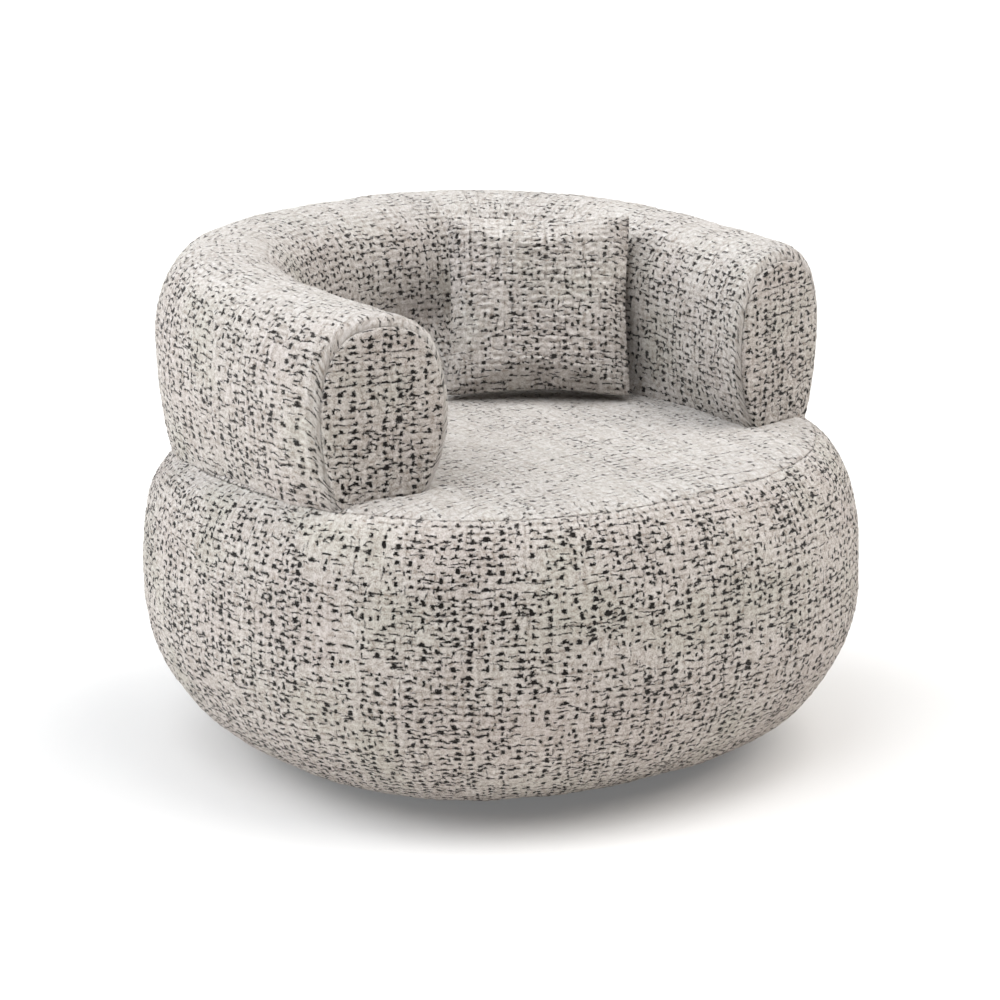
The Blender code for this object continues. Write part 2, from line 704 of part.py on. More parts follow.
def line_point(distance):
    """Point on the centre line, carried straight on past both ends."""
    if distance <= 0:
        return LINE_POINTS[0] + (LINE_POINTS[0] - LINE_POINTS[1]).normalized() * -distance
    if distance >= LINE_LENGTH:
        last = (LINE_POINTS[-1] - LINE_POINTS[-2]).normalized()
        return LINE_POINTS[-1] + last * (distance - LINE_LENGTH)
    index = next(i for i, length in enumerate(LINE_LENGTHS) if length >= distance)
    span = LINE_LENGTHS[index] - LINE_LENGTHS[index - 1]
    share = (distance - LINE_LENGTHS[index - 1]) / span
    return LINE_POINTS[index - 1].lerp(LINE_POINTS[index], share)


def smooth(share):
    share = min(max(share, 0.0), 1.0)
    return share * share * (3 - 2 * share)


def outward(distance):
    """Unit vector across the roll. Near each end it turns towards the arm face."""
    step = 0.004
    along = line_point(distance + step) - line_point(distance - step)
    normal = Vector((along.y, -along.x)).normalized()
    from_end = min(distance, LINE_LENGTH - distance)
    turn = math.radians(BACK_FACE_TURN) * (1 - smooth(from_end / BACK_FACE_BLEND))
    side = 1 if distance < LINE_LENGTH / 2 else -1
    return Matrix.Rotation(side * turn, 2) @ normal


def rear_share(distance):
    """0 at an arm end and 1 at the middle of the back, level at both."""
    return smooth(1 - abs(2 * distance / LINE_LENGTH - 1))


def quarter_round(distance, reach):
    """0 along the roll and 1 at an arm face, by a quarter ellipse over the reach."""
    from_end = min(distance, LINE_LENGTH - distance)
    share = max(0.0, 1 - from_end / reach)
    return 1 - math.sqrt(1 - share * share)


def back_top(distance):
    """Height of the roll's crest, lower towards the arms and rounded down at the faces."""
    slope = BACK_ARM_DROP * (1 - rear_share(distance))
    return BACK_TOP - slope - BACK_END_DROP * quarter_round(distance, BACK_END_DROP_REACH)


def end_taper(distance):
    """How far both feet of the roll draw in towards an arm face."""
    from_end = min(distance, LINE_LENGTH - distance)
    return BACK_END_TAPER * (1 - smooth(from_end / BACK_FACE_BLEND))


def mix(first, second, share):
    return first + (second - first) * share


def across_points(distance, section):
    """World points of a section given as (offset, z)."""
    centre, across = line_point(distance), outward(distance)
    return [
        Vector((centre.x + across.x * offset, centre.y + across.y * offset, z))
        for offset, z in section
    ]


def back_side(depth, distance, side):
    """Half of the section, foot to top, as (offset, z); side is 1 outside and -1 inside."""
    rear = rear_share(distance)
    if side > 0:
        tuck = smooth((rear - BACK_TUCK_START_SHARE) / BACK_TUCK_SPAN_SHARE)
        foot = mix(BACK_OUTER_FOOT_ARM, BACK_OUTER_FOOT_REAR, tuck)
    else:
        foot = mix(BACK_INNER_FOOT_ARM, BACK_INNER_FOOT_REAR, rear)
    foot -= end_taper(distance)
    widest = BACK_HALF_THICKNESS + max(0.0, foot - BACK_HALF_THICKNESS) * BACK_INNER_LEAN
    place = line_point(distance) + outward(distance) * side * foot
    base = seat_surface_height(place.x, place.y)
    points = [(foot - depth, base - BACK_ROOT)]
    for step in range(FLANK_STEPS):
        rise = step / FLANK_STEPS
        bulge = 1 - (1 - rise) ** BACK_FLANK_POWER
        points.append((mix(foot, widest, bulge) - depth, mix(base, BACK_WIDEST, rise)))
    reach = back_top(distance) - depth - BACK_WIDEST
    for step in range(ARCH_STEPS):
        angle = math.pi / 2 * step / ARCH_STEPS
        across = math.cos(angle) ** (2 / BACK_SECTION_POWER)
        up = math.sin(angle) ** (2 / BACK_SECTION_POWER)
        points.append(((widest - depth) * across, BACK_WIDEST + reach * up))
    return [(side * offset, z) for offset, z in points]


def back_outline(depth, distance):
    """Section from the outer foot over the top to the inner foot, in world points."""
    outer = back_side(depth, distance, 1)
    inner = back_side(depth, distance, -1)
    return across_points(distance, outer + [(0.0, back_top(distance) - depth)] + inner[::-1])


def foam_stations():
    """Even steps between the ends of the foam."""
    start, stop = FOAM_END_MARGIN, LINE_LENGTH - FOAM_END_MARGIN
    return [mix(start, stop, i / (BACK_STATIONS - 1)) for i in range(BACK_STATIONS)]


def back_cover_mesh():
    rounded = [BACK_END_ROUND * (1 - math.cos(math.radians(degrees))) for degrees in (0, 40, 90)]
    ends = [LINE_LENGTH - distance for distance in rounded[::-1]]
    rows = []
    for distance in rounded + foam_stations() + ends:
        depth = BACK_END_ROUND * quarter_round(distance, BACK_END_ROUND)
        inside = back_outline(depth + COVER_THICKNESS, distance)
        rows.append(back_outline(depth, distance) + inside[::-1])
    turned_columns = range(len(rows[0]) // 2, len(rows[0]))
    return loft("back_cover", rows, cap_ends=True, paired_caps=True, turned_columns=turned_columns)


CHANNEL_HALF_WIDTH = RAIL_WIDTH / 2 + FRAME_CHANNEL_GAP
FOAM_LOW = SEAT_EDGE - BACK_ROOT


def foam_section_outer(distance):
    """Slab against the outside of the back frame, up to the split."""
    half = back_side(FOAM_DEPTH, distance, 1)[:FOAM_SPLIT + 1]
    edge, height = half[-1]
    top = height - LAYER_GAP
    return half[:-1] + [(edge, top), (CHANNEL_HALF_WIDTH, top), (CHANNEL_HALF_WIDTH, FOAM_LOW)]


def foam_section_inner(distance):
    """Thick slab that the sitter leans on, against the inside of the back frame."""
    half = back_side(FOAM_DEPTH, distance, -1)[:FOAM_SPLIT + 1]
    edge, height = half[-1]
    top = height - LAYER_GAP
    return [(-CHANNEL_HALF_WIDTH, FOAM_LOW), (-CHANNEL_HALF_WIDTH, top), (edge, top)] + half[-2::-1]


def foam_section_top(distance):
    """Roll along the top of both slabs, over the rail."""
    outer = back_side(FOAM_DEPTH, distance, 1)[FOAM_SPLIT:]
    inner = back_side(FOAM_DEPTH, distance, -1)[FOAM_SPLIT:]
    return outer + [(0.0, back_top(distance) - FOAM_DEPTH)] + inner[::-1]


def back_foam_mesh(name, section):
    rows = [across_points(distance, section(distance)) for distance in foam_stations()]
    return loft(name, rows, cap_ends=True)


def face_direction(right):
    """Unit vector out of an arm face."""
    across = outward(0.0 if right else LINE_LENGTH)
    return Vector((across.y, -across.x)) if right else Vector((-across.y, across.x))


def face_rows(right, steps):
    """Closed arm-face outlines, each at a (depth, distance out of the face)."""
    distance = 0.0 if right else LINE_LENGTH
    way = face_direction(right)
    rows = []
    for depth, out in steps:
        shift = Vector((way.x * out, way.y * out, 0))
        rows.append([point + shift for point in back_outline(depth, distance)])
    return rows


def arm_pad_mesh(name, right):
    quarter = [0.0, 30.0, 60.0, 90.0]
    steps = [(BACK_END_ROUND, FIT_GAP)]
    for degrees in quarter[1:]:
        turn = math.radians(degrees)
        steps.append((
            BACK_END_ROUND + ARM_PAD_ROUND * (1 - math.cos(turn)),
            ARM_PAD_THICKNESS - ARM_PAD_ROUND * (1 - math.sin(turn)),
        ))
    rows = face_rows(right, steps)
    way = face_direction(right)
    middle = sum(rows[-1], Vector((0, 0, 0))) / len(rows[-1])
    pole = middle + Vector((way.x, way.y, 0)) * ARM_PAD_SWELL
    return loft_from_flat(name, rows, pole)


def loft_from_flat(name, rows, pole):
    """Rows closed by one flat face at the start and a pole at the end."""
    bm = bmesh.new()
    made = [[bm.verts.new(point) for point in row] for row in rows]
    bm.faces.new(made[0])
    made.append([bm.verts.new(pole)])
    for first, second in zip(made, made[1:]):
        join_rows(bm, first, second)
    return finish_mesh(name, bm)


def arm_board_mesh(name, right):
    depth = FOAM_DEPTH + ARM_BOARD_MARGIN
    rows = face_rows(right, [(depth, -FIT_GAP), (depth, -FIT_GAP - ARM_BOARD_THICKNESS)])
    return loft(name, rows, cap_ends=True)


def rail_mesh():
    rows = []
    start, stop = RAIL_END_MARGIN, LINE_LENGTH - RAIL_END_MARGIN
    section = (
        (-RAIL_WIDTH / 2, RAIL_BOTTOM), (-RAIL_WIDTH / 2, RAIL_TOP),
        (RAIL_WIDTH / 2, RAIL_TOP), (RAIL_WIDTH / 2, RAIL_BOTTOM),
    )
    for i in range(BACK_STATIONS):
        rows.append(across_points(mix(start, stop, i / (BACK_STATIONS - 1)), section))
    return loft("back_top_rail", rows, cap_ends=True)


def back_post_places():
    span = LINE_LENGTH - 2 * BACK_POST_END_MARGIN
    places = []
    for i in range(BACK_POST_COUNT):
        distance = BACK_POST_END_MARGIN + span * i / (BACK_POST_COUNT - 1)
        centre, across = line_point(distance), outward(distance)
        places.append((centre, math.atan2(across.y, across.x)))
    return places


def post_cutter():
    """Clearance slots for the back posts through the seat foam and covers."""
    bm = bmesh.new()
    side = BACK_POST_SIDE + 2 * POST_CLEARANCE
    low, high = FRAME_RING_TOP, BACK_TOP
    for centre, turn in back_post_places():
        made = bmesh.ops.create_cube(bm, size=1.0)["verts"]
        place = Matrix.Translation((centre.x, centre.y, (low + high) / 2))
        place = place @ Matrix.Rotation(turn, 4, "Z") @ Matrix.Diagonal((side, side, high - low, 1))
        bmesh.ops.transform(bm, matrix=place, verts=made)
    return add_cutter("back_post_cutter", finish_mesh("back_post_cutter", bm))


def add_back(materials, swivel):
    low, high = FRAME_RING_TOP + FIT_GAP, RAIL_BOTTOM - FIT_GAP
    for i, (centre, turn) in enumerate(back_post_places()):
        size = (BACK_POST_SIDE, BACK_POST_SIDE, high - low)
        mesh = box_mesh(f"back_post_{i + 1}", size, (centre.x, centre.y, (low + high) / 2), turn)
        add_object(f"back_post_{i + 1}", mesh, materials["pine"], swivel)
    add_object("back_top_rail", rail_mesh(), materials["plywood"], swivel)
    envelope = add_cutter("seat_envelope_cutter", seat_envelope())
    pieces = [
        ("back_foam_outer", back_foam_mesh("back_foam_outer", foam_section_outer), "foam"),
        ("back_foam_inner", back_foam_mesh("back_foam_inner", foam_section_inner), "foam"),
        ("back_cover", back_cover_mesh(), "tweed"),
    ]
    top_mesh = back_foam_mesh("back_foam_top", foam_section_top)
    add_object("back_foam_top", top_mesh, materials["foam"], swivel)
    for word, right in (("right", True), ("left", False)):
        pieces.append((f"arm_end_board_{word}", arm_board_mesh(f"arm_end_board_{word}", right), "plywood"))
        pieces.append((f"arm_end_pad_{word}", arm_pad_mesh(f"arm_end_pad_{word}", right), "tweed"))
    for name, mesh, kind in pieces:
        combine(add_object(name, mesh, materials[kind], swivel), envelope)


# Pillow, in its own frame: X across, Z up its face, -Y towards the sitter

def pillow_point(u, v):
    """Outline with drawn-in sides and pointed corners."""
    draw_x = PILLOW_SIDE_DRAW * (1 - v * v)
    draw_z = PILLOW_SIDE_DRAW * (1 - u * u)
    return (PILLOW_WIDTH / 2 - draw_x) * u, (PILLOW_HEIGHT / 2 - draw_z) * v


def pillow_swell(u, v):
    fullness = max(0.0, (1 - u * u) * (1 - v * v)) ** PILLOW_FULLNESS
    return (PILLOW_THICKNESS / 2 - PILLOW_EDGE) * fullness


def pillow_axis():
    return [math.sin(math.pi / 2 * (2 * i / PILLOW_CELLS - 1)) for i in range(PILLOW_CELLS + 1)]


def sheet_solid(name, near, far):
    """A closed solid between two grids of points."""
    bm = bmesh.new()
    count = len(near)
    grids = [[[bm.verts.new(point) for point in row] for row in grid] for grid in (near, far)]
    for grid in grids:
        for i in range(count - 1):
            for j in range(count - 1):
                bm.faces.new((grid[i][j], grid[i + 1][j], grid[i + 1][j + 1]))
                bm.faces.new((grid[i][j], grid[i + 1][j + 1], grid[i][j + 1]))
    rim = [(i, 0) for i in range(count - 1)] + [(count - 1, j) for j in range(count - 1)]
    rim += [(i, count - 1) for i in range(count - 1, 0, -1)] + [(0, j) for j in range(count - 1, 0, -1)]
    first, second = grids
    for (i, j), (k, m) in zip(rim, rim[1:] + rim[:1]):
        bm.faces.new((first[i][j], first[k][m], second[k][m], second[i][j]))
    return finish_mesh(name, bm)


def pillow_grid(offset, rim=0):
    """Grid of points, with offset giving the depth coordinate from (u, v)."""
    axis = pillow_axis()[rim:PILLOW_CELLS + 1 - rim]
    grid = []
    for u in axis:
        column = []
        for v in axis:
            x, z = pillow_point(u, v)
            column.append(Vector((x, offset(u, v), z)))
        grid.append(column)
    return grid


def cover_inside(u, v):
    return max(LAYER_GAP / 2, PILLOW_EDGE + pillow_swell(u, v) - COVER_THICKNESS)


def insert_half(u, v):
    return cover_inside(u, v) - LAYER_GAP / 2


def pillow_frame():
    turn = math.radians(PILLOW_TURN)
    lean = math.radians(PILLOW_LEAN)
    up = Matrix.Rotation(turn, 3, "Z") @ Matrix.Rotation(-lean, 3, "X") @ Vector((0, 0, 1))
    foot = Vector((*PILLOW_FOOT, seat_surface_height(*PILLOW_FOOT) + SEAT_CROWN + PILLOW_FOOT_RISE))
    centre = foot + up * PILLOW_HEIGHT / 2
    rotation = (Matrix.Rotation(turn, 3, "Z") @ Matrix.Rotation(-lean, 3, "X")).to_euler()
    return centre, rotation


def add_pillow(materials):
    centre, rotation = pillow_frame()
    lift = add_empty("pillow_lift", centre, rotation)
    front = sheet_solid(
        "pillow_cover_front",
        pillow_grid(lambda u, v: -PILLOW_EDGE - pillow_swell(u, v)),
        pillow_grid(lambda u, v: -cover_inside(u, v)),
    )
    rear = sheet_solid(
        "pillow_cover_rear",
        pillow_grid(lambda u, v: PILLOW_EDGE + pillow_swell(u, v)),
        pillow_grid(cover_inside),
    )
    insert = sheet_solid(
        "pillow_insert",
        pillow_grid(lambda u, v: -insert_half(u, v), 1),
        pillow_grid(insert_half, 1),
    )
    add_object("pillow_cover_front", front, materials["tweed"], lift)
    add_object("pillow_cover_rear", rear, materials["tweed"], lift)
    add_object("pillow_insert", insert, materials["filling"], lift)


def main():
    clear_scene()
    materials = make_materials()
    seat_swivel = add_empty("seat_swivel")
    cage_swivel = add_empty("cage_swivel")
    lower_cut = add_base_plate(materials)
    add_glides(materials)
    upper_cut = add_turntable(materials, cage_swivel, seat_swivel, lower_cut)
    add_seat_frame(materials, seat_swivel, upper_cut)
    add_suspension(materials, seat_swivel)
    add_seat_upholstery(materials, seat_swivel, post_cutter())
    add_back(materials, seat_swivel)
    add_pillow(materials)


main()
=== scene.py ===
"""Looks of a swivel barrel chair: chenille covers, a loose pillow, frame finishes and the studio.

The chair faces -Y, +Z is up and every size is in metres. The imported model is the
fixed frame, and each new piece takes the place of the soft solids that it covers.
"""

import json
import math

import bmesh
import bpy
import numpy as np
from bpy.props import FloatProperty, FloatVectorProperty, PointerProperty
from mathutils import Matrix, Vector


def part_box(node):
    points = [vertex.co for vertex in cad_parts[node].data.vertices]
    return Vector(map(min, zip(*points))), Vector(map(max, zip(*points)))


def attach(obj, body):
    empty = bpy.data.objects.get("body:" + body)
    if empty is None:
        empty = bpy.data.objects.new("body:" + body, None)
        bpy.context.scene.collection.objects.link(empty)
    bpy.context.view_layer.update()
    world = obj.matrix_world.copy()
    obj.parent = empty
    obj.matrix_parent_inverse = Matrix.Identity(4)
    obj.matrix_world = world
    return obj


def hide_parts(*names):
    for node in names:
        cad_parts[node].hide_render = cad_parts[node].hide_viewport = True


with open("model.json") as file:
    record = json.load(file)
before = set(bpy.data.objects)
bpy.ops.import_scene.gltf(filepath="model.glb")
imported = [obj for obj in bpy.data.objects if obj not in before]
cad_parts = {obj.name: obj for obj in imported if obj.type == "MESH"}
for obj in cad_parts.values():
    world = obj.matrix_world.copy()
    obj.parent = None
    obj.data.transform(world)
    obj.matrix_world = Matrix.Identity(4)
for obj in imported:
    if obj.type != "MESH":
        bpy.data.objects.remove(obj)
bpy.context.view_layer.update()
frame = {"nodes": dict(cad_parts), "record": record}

bl_info = {
    "name": "Barrel Chair Dresser",
    "version": (1, 0, 0),
    "blender": (4, 5, 0),
    "location": "View3D > Sidebar > Chair",
    "description": "Dresses a swivel barrel chair in chenille and sets up a plain studio",
    "category": "Object",
}


# Sizes and colours that a user would change

def length(label, text, default):
    return FloatProperty(
        name=label, description=text, default=default, min=0.0, unit="LENGTH", precision=4
    )


def factor(label, text, default, low=0.0, high=10.0):
    return FloatProperty(name=label, description=text, default=default, min=low, max=high)


def colour(label, text, default):
    return FloatVectorProperty(
        name=label, description=text, default=default, size=3, min=0.0, max=1.0, subtype="COLOR"
    )


class ChairSizes(bpy.types.PropertyGroup):
    """Sizes of the covers. They repeat the sizes of the solids that the covers lie on."""

    seat_half_width: length("Seat half width", "Half the width of the drum", 0.500)
    seat_half_depth: length("Seat half depth", "Half the depth of the drum", 0.476)
    seat_plan_power: factor("Seat plan power", "Squareness of the drum seen from above", 2.26)
    belly_height: length("Belly height", "From the underside up to the widest place", 0.2096)
    shoulder_height: length("Shoulder height", "From the widest place to the seat's edge", 0.2229)
    seat_crown: length("Seat crown", "Rise of the seat's middle over its edge", 0.010)
    belly_round: length("Belly round", "How far the underside draws in", 0.166)
    belly_power: factor("Belly power", "Fullness of the lower curve", 1.80)
    shoulder_round: length("Shoulder round", "How far the seat's edge draws in", 0.129)
    shoulder_power: factor("Shoulder power", "Fullness of the upper curve", 2.835)
    seam_inset: length("Seam inset", "Inset of the seam between side and top", 0.065)
    back_half_thickness: length("Back half thickness", "Half the thickness of the roll", 0.0975)
    back_line_half_width: length("Back line half width", "Half the width of the roll's line", 0.352)
    back_line_half_depth: length(
        "Back line half depth", "Half the depth of the roll's line", 0.4215
    )
    back_line_power: factor("Back line power", "Squareness of the roll's line", 2.59)
    back_line_shift: FloatProperty(
        name="Back line shift", description="Place of the line's middle along Y",
        default=-0.0244, unit="LENGTH"
    )
    back_end_angle: factor(
        "Back end angle", "How far the line passes the widest place, in degrees", 19.2, 0, 60
    )
    back_end_round: length("Back end round", "Rounding of the cover towards an arm face", 0.012)
    back_end_drop: length("Back end drop", "How much lower the crest is at an arm face", 0.004)
    back_end_drop_reach: length("Back end drop reach", "Over which length the crest drops", 0.050)
    back_end_taper: length("Back end taper", "How far both feet draw in towards an arm face", 0.008)
    back_face_turn: factor("Arm face turn", "Outward turn of an arm face, in degrees", 26.6, 0, 60)
    back_face_blend: length("Arm face blend", "Length over which the roll turns", 0.11)
    back_rise: length("Back rise", "Height of the roll over the seat's edge", 0.2538)
    back_arm_drop: length("Back arm drop", "How much lower the roll is at the arms", 0.007)
    back_widest_rise: length("Back widest rise", "Height of its widest place over the edge", 0.1056)
    back_section_power: factor("Back section power", "Squareness of the roll's arch", 2.54)
    back_outer_foot_arm: length("Outer foot at the arms", "Offset of the outer foot there", 0.080)
    back_outer_foot_rear: length("Outer foot at the rear", "Offset of the outer foot there", 0.036)
    back_outer_tuck_start: factor(
        "Outer tuck start", "Where the outer foot starts to draw in, as a share", 0.55
    )
    back_outer_tuck_span: factor("Outer tuck span", "Over how much of the back it does", 0.35)
    back_inner_foot_arm: length("Inner foot at the arms", "Offset of the inner foot there", 0.0763)
    back_inner_foot_rear: length("Inner foot at the rear", "Offset of the inner foot there", 0.245)
    back_flank_power: factor("Back flank power", "Hollowness of the roll's foot", 2.0)
    back_inner_lean: factor(
        "Back inner lean", "Share of the inner foot that the widest place keeps", 0.20
    )
    arm_pad_thickness: length("Arm pad thickness", "How far an arm face stands proud", 0.005)
    arm_pad_round: length("Arm pad round", "Rounding of its edge", 0.004)
    arm_pad_swell: length("Arm pad swell", "Crown of its middle", 0.004)
    crease_sink: length("Crease sink", "How far the roll presses the seat down at the sides", 0.013)
    crease_sink_arm: length("Crease sink at the arms", "How far it does so at the arm faces", 0.003)
    crease_width: length("Crease width", "How far from the foot the seat is pressed down", 0.042)
    pillow_width: length("Pillow width", "Seam to seam across", 0.275)
    pillow_height: length("Pillow height", "Seam to seam upwards", 0.273)
    pillow_thickness: length("Pillow thickness", "At the middle", 0.098)
    pillow_hollow: length("Pillow hollow", "How far the middle of each side draws in", 0.009)
    pillow_corner: factor(
        "Pillow corner", "Share by which its corners are rounded off", 0.045, 0.0, 0.2
    )
    pillow_plumpness: factor(
        "Pillow plumpness", "Power of its profile: 1 as blown up, less is fuller", 0.94, 0.5, 1.0
    )
    pillow_turn: FloatProperty(name="Pillow turn", description="About Z, in degrees", default=-35.4)
    pillow_lean: factor("Pillow lean", "Backwards, in degrees", 22.0, 0, 80)


class ClothLooks(bpy.types.PropertyGroup):
    """Weave and colours of the chenille."""

    cell_width: length("Warp spacing", "Width of one cell of the weave", 0.0208)
    cell_height: length("Weft spacing", "Height of one cell of the weave", 0.0107)
    relief: length("Pile relief", "Height of the nubs", 0.0013)
    mesh_step: length("Mesh step", "Spacing of the mesh columns", 0.0035)
    fleck_share: factor("Fleck share", "Share of the cells that hold a dark fleck", 0.74, 0.0, 1.0)
    pile: colour("Pile", "Light chenille pile", (0.690, 0.660, 0.635))
    pile_rose: colour("Rose pile", "Pinkish patches", (0.658, 0.614, 0.594))
    pile_sage: colour("Sage pile", "Greenish patches", (0.628, 0.616, 0.568))
    # Painted light: a cooler, greyer pile on up-facing tops, for the light that falls on them
    pile_top_light: colour("Top light pile", "Pile that lies over, on top", (0.640, 0.631, 0.622))
    pile_deep: colour("Deep pile", "Shaded foot of the pile", (0.285, 0.238, 0.196))
    fleck: colour("Fleck", "Dark core yarn", (0.010, 0.008, 0.007))


def sizes():
    return bpy.context.scene.chair_sizes


def looks():
    return bpy.context.scene.chair_cloth


# Small sizes of the sewing and of the meshes, in metres

NUB_FADE = 0.003  # how near a sewn edge the nubs fade out
TANGENT_STEP = 0.004  # half the chord that gives the roll's direction
UNDERSIDE_TURN = -86.0  # where the side cover ends under the drum, in degrees
BELT_DROP, BELT_MARGIN, BELT_DEPTH = 0.012, 0.020, 0.034  # the seat belt's inner wall
LIP_INSET, LIP_DROP, FOOT_INSET = 0.004, 0.010, 0.012  # the seat top's turned-in edge
ROLL_SAG = 0.030  # how far the roll's underside hangs below its two feet
ARM_PAD_SKIRT = 0.016  # how far an arm face reaches below its section
ARM_PAD_CELLS = 132  # mesh cells across an arm face
PILLOW_PANEL, PILLOW_CELLS = 0.300, 44  # a flat pillow panel, seam to seam, and its mesh
REAR_PANEL_CUT = Vector((0.371, 0.212))  # where in the weave the rear panel was cut out


# Shader expressions

def math_method(operation, swapped=False):
    """A method of a wire that adds one Math node."""
    def method(self, *others):
        values = (*others, self) if swapped else (self, *others)
        return self.nodes.node("Math", {"operation": operation}, dict(enumerate(values)))
    return method


class Wire:
    """An output socket with arithmetic, so that a formula on wires adds its Math nodes."""

    def __init__(self, nodes, socket):
        self.nodes = nodes
        self.socket = socket

    __add__ = __radd__ = math_method("ADD")
    __sub__ = math_method("SUBTRACT")
    __rsub__ = math_method("SUBTRACT", swapped=True)
    __mul__ = __rmul__ = math_method("MULTIPLY")
    __truediv__ = math_method("DIVIDE")
    __lt__ = math_method("LESS_THAN")
    __abs__ = math_method("ABSOLUTE")
    __floor__ = math_method("FLOOR")
    maximum = math_method("MAXIMUM")

    def smooth(self, low, high):
        """0 below low and 1 above high, eased between them; high may be under low."""
        inputs = {"Value": self, "From Min": low, "From Max": high}
        return self.nodes.node("MapRange", {"interpolation_type": "SMOOTHSTEP"}, inputs, "Result")


class Nodes:
    """The nodes of a material or of the world, around the shader that is there from the start."""

    def __init__(self, owner, first):
        owner.use_nodes = True
        self.tree = owner.node_tree
        self.first = self.tree.nodes[first]
        self.shade = Wire(self, self.first.outputs[0])
        self.surface = self.shade.socket.links[0].to_socket

    def node(self, kind, settings=None, inputs=None, output=0):
        """Adds a node: first its settings, then the values or links of its sockets."""
        added = self.tree.nodes.new("ShaderNode" + kind)
        for key, value in (settings or {}).items():
            setattr(added, key, value)
        for key, value in (inputs or {}).items():
            self.link(value, added.inputs[key])
        return Wire(self, added.outputs[output])

    def link(self, value, socket):
        if isinstance(value, Wire):
            self.tree.links.new(value.socket, socket)
        else:
            socket.default_value = value

    def feed(self, socket, value):
        """Sets or links a socket of the shader that is there from the start."""
        self.link(value, self.first.inputs[socket])

    def rays(self, *kinds):
        """1 for a ray of one of these kinds, else 0."""
        sockets = self.node("LightPath").socket.node.outputs
        seen, *rest = (Wire(self, sockets[f"Is {kind} Ray"]) for kind in kinds)
        for wire in rest:
            seen = seen.maximum(wire)
        return seen


class Shader(Nodes):
    """A material with one Principled shader."""

    def __init__(self, name, roughness, specular, metallic=0.0):
        self.material = bpy.data.materials.new(name)
        super().__init__(self.material, "Principled BSDF")
        self.feed("Roughness", roughness)
        self.feed("Metallic", metallic)
        self.feed("Specular IOR Level", specular)

    def noise(self, vector, scale, detail=2.0, output="Fac", roughness=0.5):
        inputs = {"Vector": vector, "Scale": scale, "Detail": detail, "Roughness": roughness}
        return self.node("TexNoise", {"noise_dimensions": "3D"}, inputs, output)

    def vector(self, x, y, z=0.0):
        return self.node("CombineXYZ", None, {0: x, 1: y, 2: z})

    def parts(self, vector):
        """The three numbers of a vector or a colour."""
        split = self.node("SeparateXYZ", None, {0: vector}).socket.node
        return [Wire(self, socket) for socket in split.outputs]

    def random(self, x, y, seed):
        """Three random numbers for a cell of the weave."""
        place = {"Vector": self.vector(x, y, seed)}
        return self.parts(self.node("TexWhiteNoise", {"noise_dimensions": "3D"}, place, "Color"))

    def mix(self, share, first, second):
        """A colour between two colours, each a wire or three numbers."""
        first, second = (c if isinstance(c, Wire) else (*c, 1.0) for c in (first, second))
        return self.node("Mix", {"data_type": "RGBA"}, {"Factor": share, 6: first, 7: second}, 2)

    def bump(self, height, distance, strength):
        inputs = {"Height": height, "Distance": distance, "Strength": strength}
        self.feed("Normal", self.node("Bump", None, inputs, "Normal"))


def fleck_layer(shader, x, y, seed, share, small):
    """Dark flecks between the nubs. x and y count cells of the weave, each with its own chance."""
    column, row = math.floor(x + 0.5), math.floor(y + 0.5)
    chance, wide, tall = shader.random(column, row, seed)
    linked, span, thick = shader.random(column, row, seed + 1.0)
    aside, above, lean = shader.random(column, row, seed + 2.0)
    drift = shader.random(column, math.floor(row / 4.0), seed + 3.0)[0]
    across = x - column - (aside + drift - 1.0) * 0.18
    up = y - row - (above - 0.5) * 0.26

    # A squarish blob where the core yarn shows
    blob = (abs(across) / (wide * 0.105 + 0.072)).maximum(abs(up) / (tall * 0.24 + 0.17))
    core = (chance < share) * (blob / small).smooth(1.06, 0.90)

    # A thin bent whisker across the cell
    bar = abs(up + across * across * 0.3 + 0.10) / (thick * 0.060 + 0.072)
    bar = bar.maximum(abs(across - (lean - 0.5) * 0.40) / (span * 0.32 + 0.16))
    whisker = (linked < share * 0.90 + 0.06) * (bar / small).smooth(1.12, 0.76)

    # A single dark thread along the warp, here and there
    thread = (abs(across + (span - 0.5) * 0.30) / 0.034).maximum(abs(up) / 0.8)
    warp = (lean < share * 0.26) * thread.smooth(1.2, 0.5)
    return core.maximum(whisker).maximum(warp * 0.85)


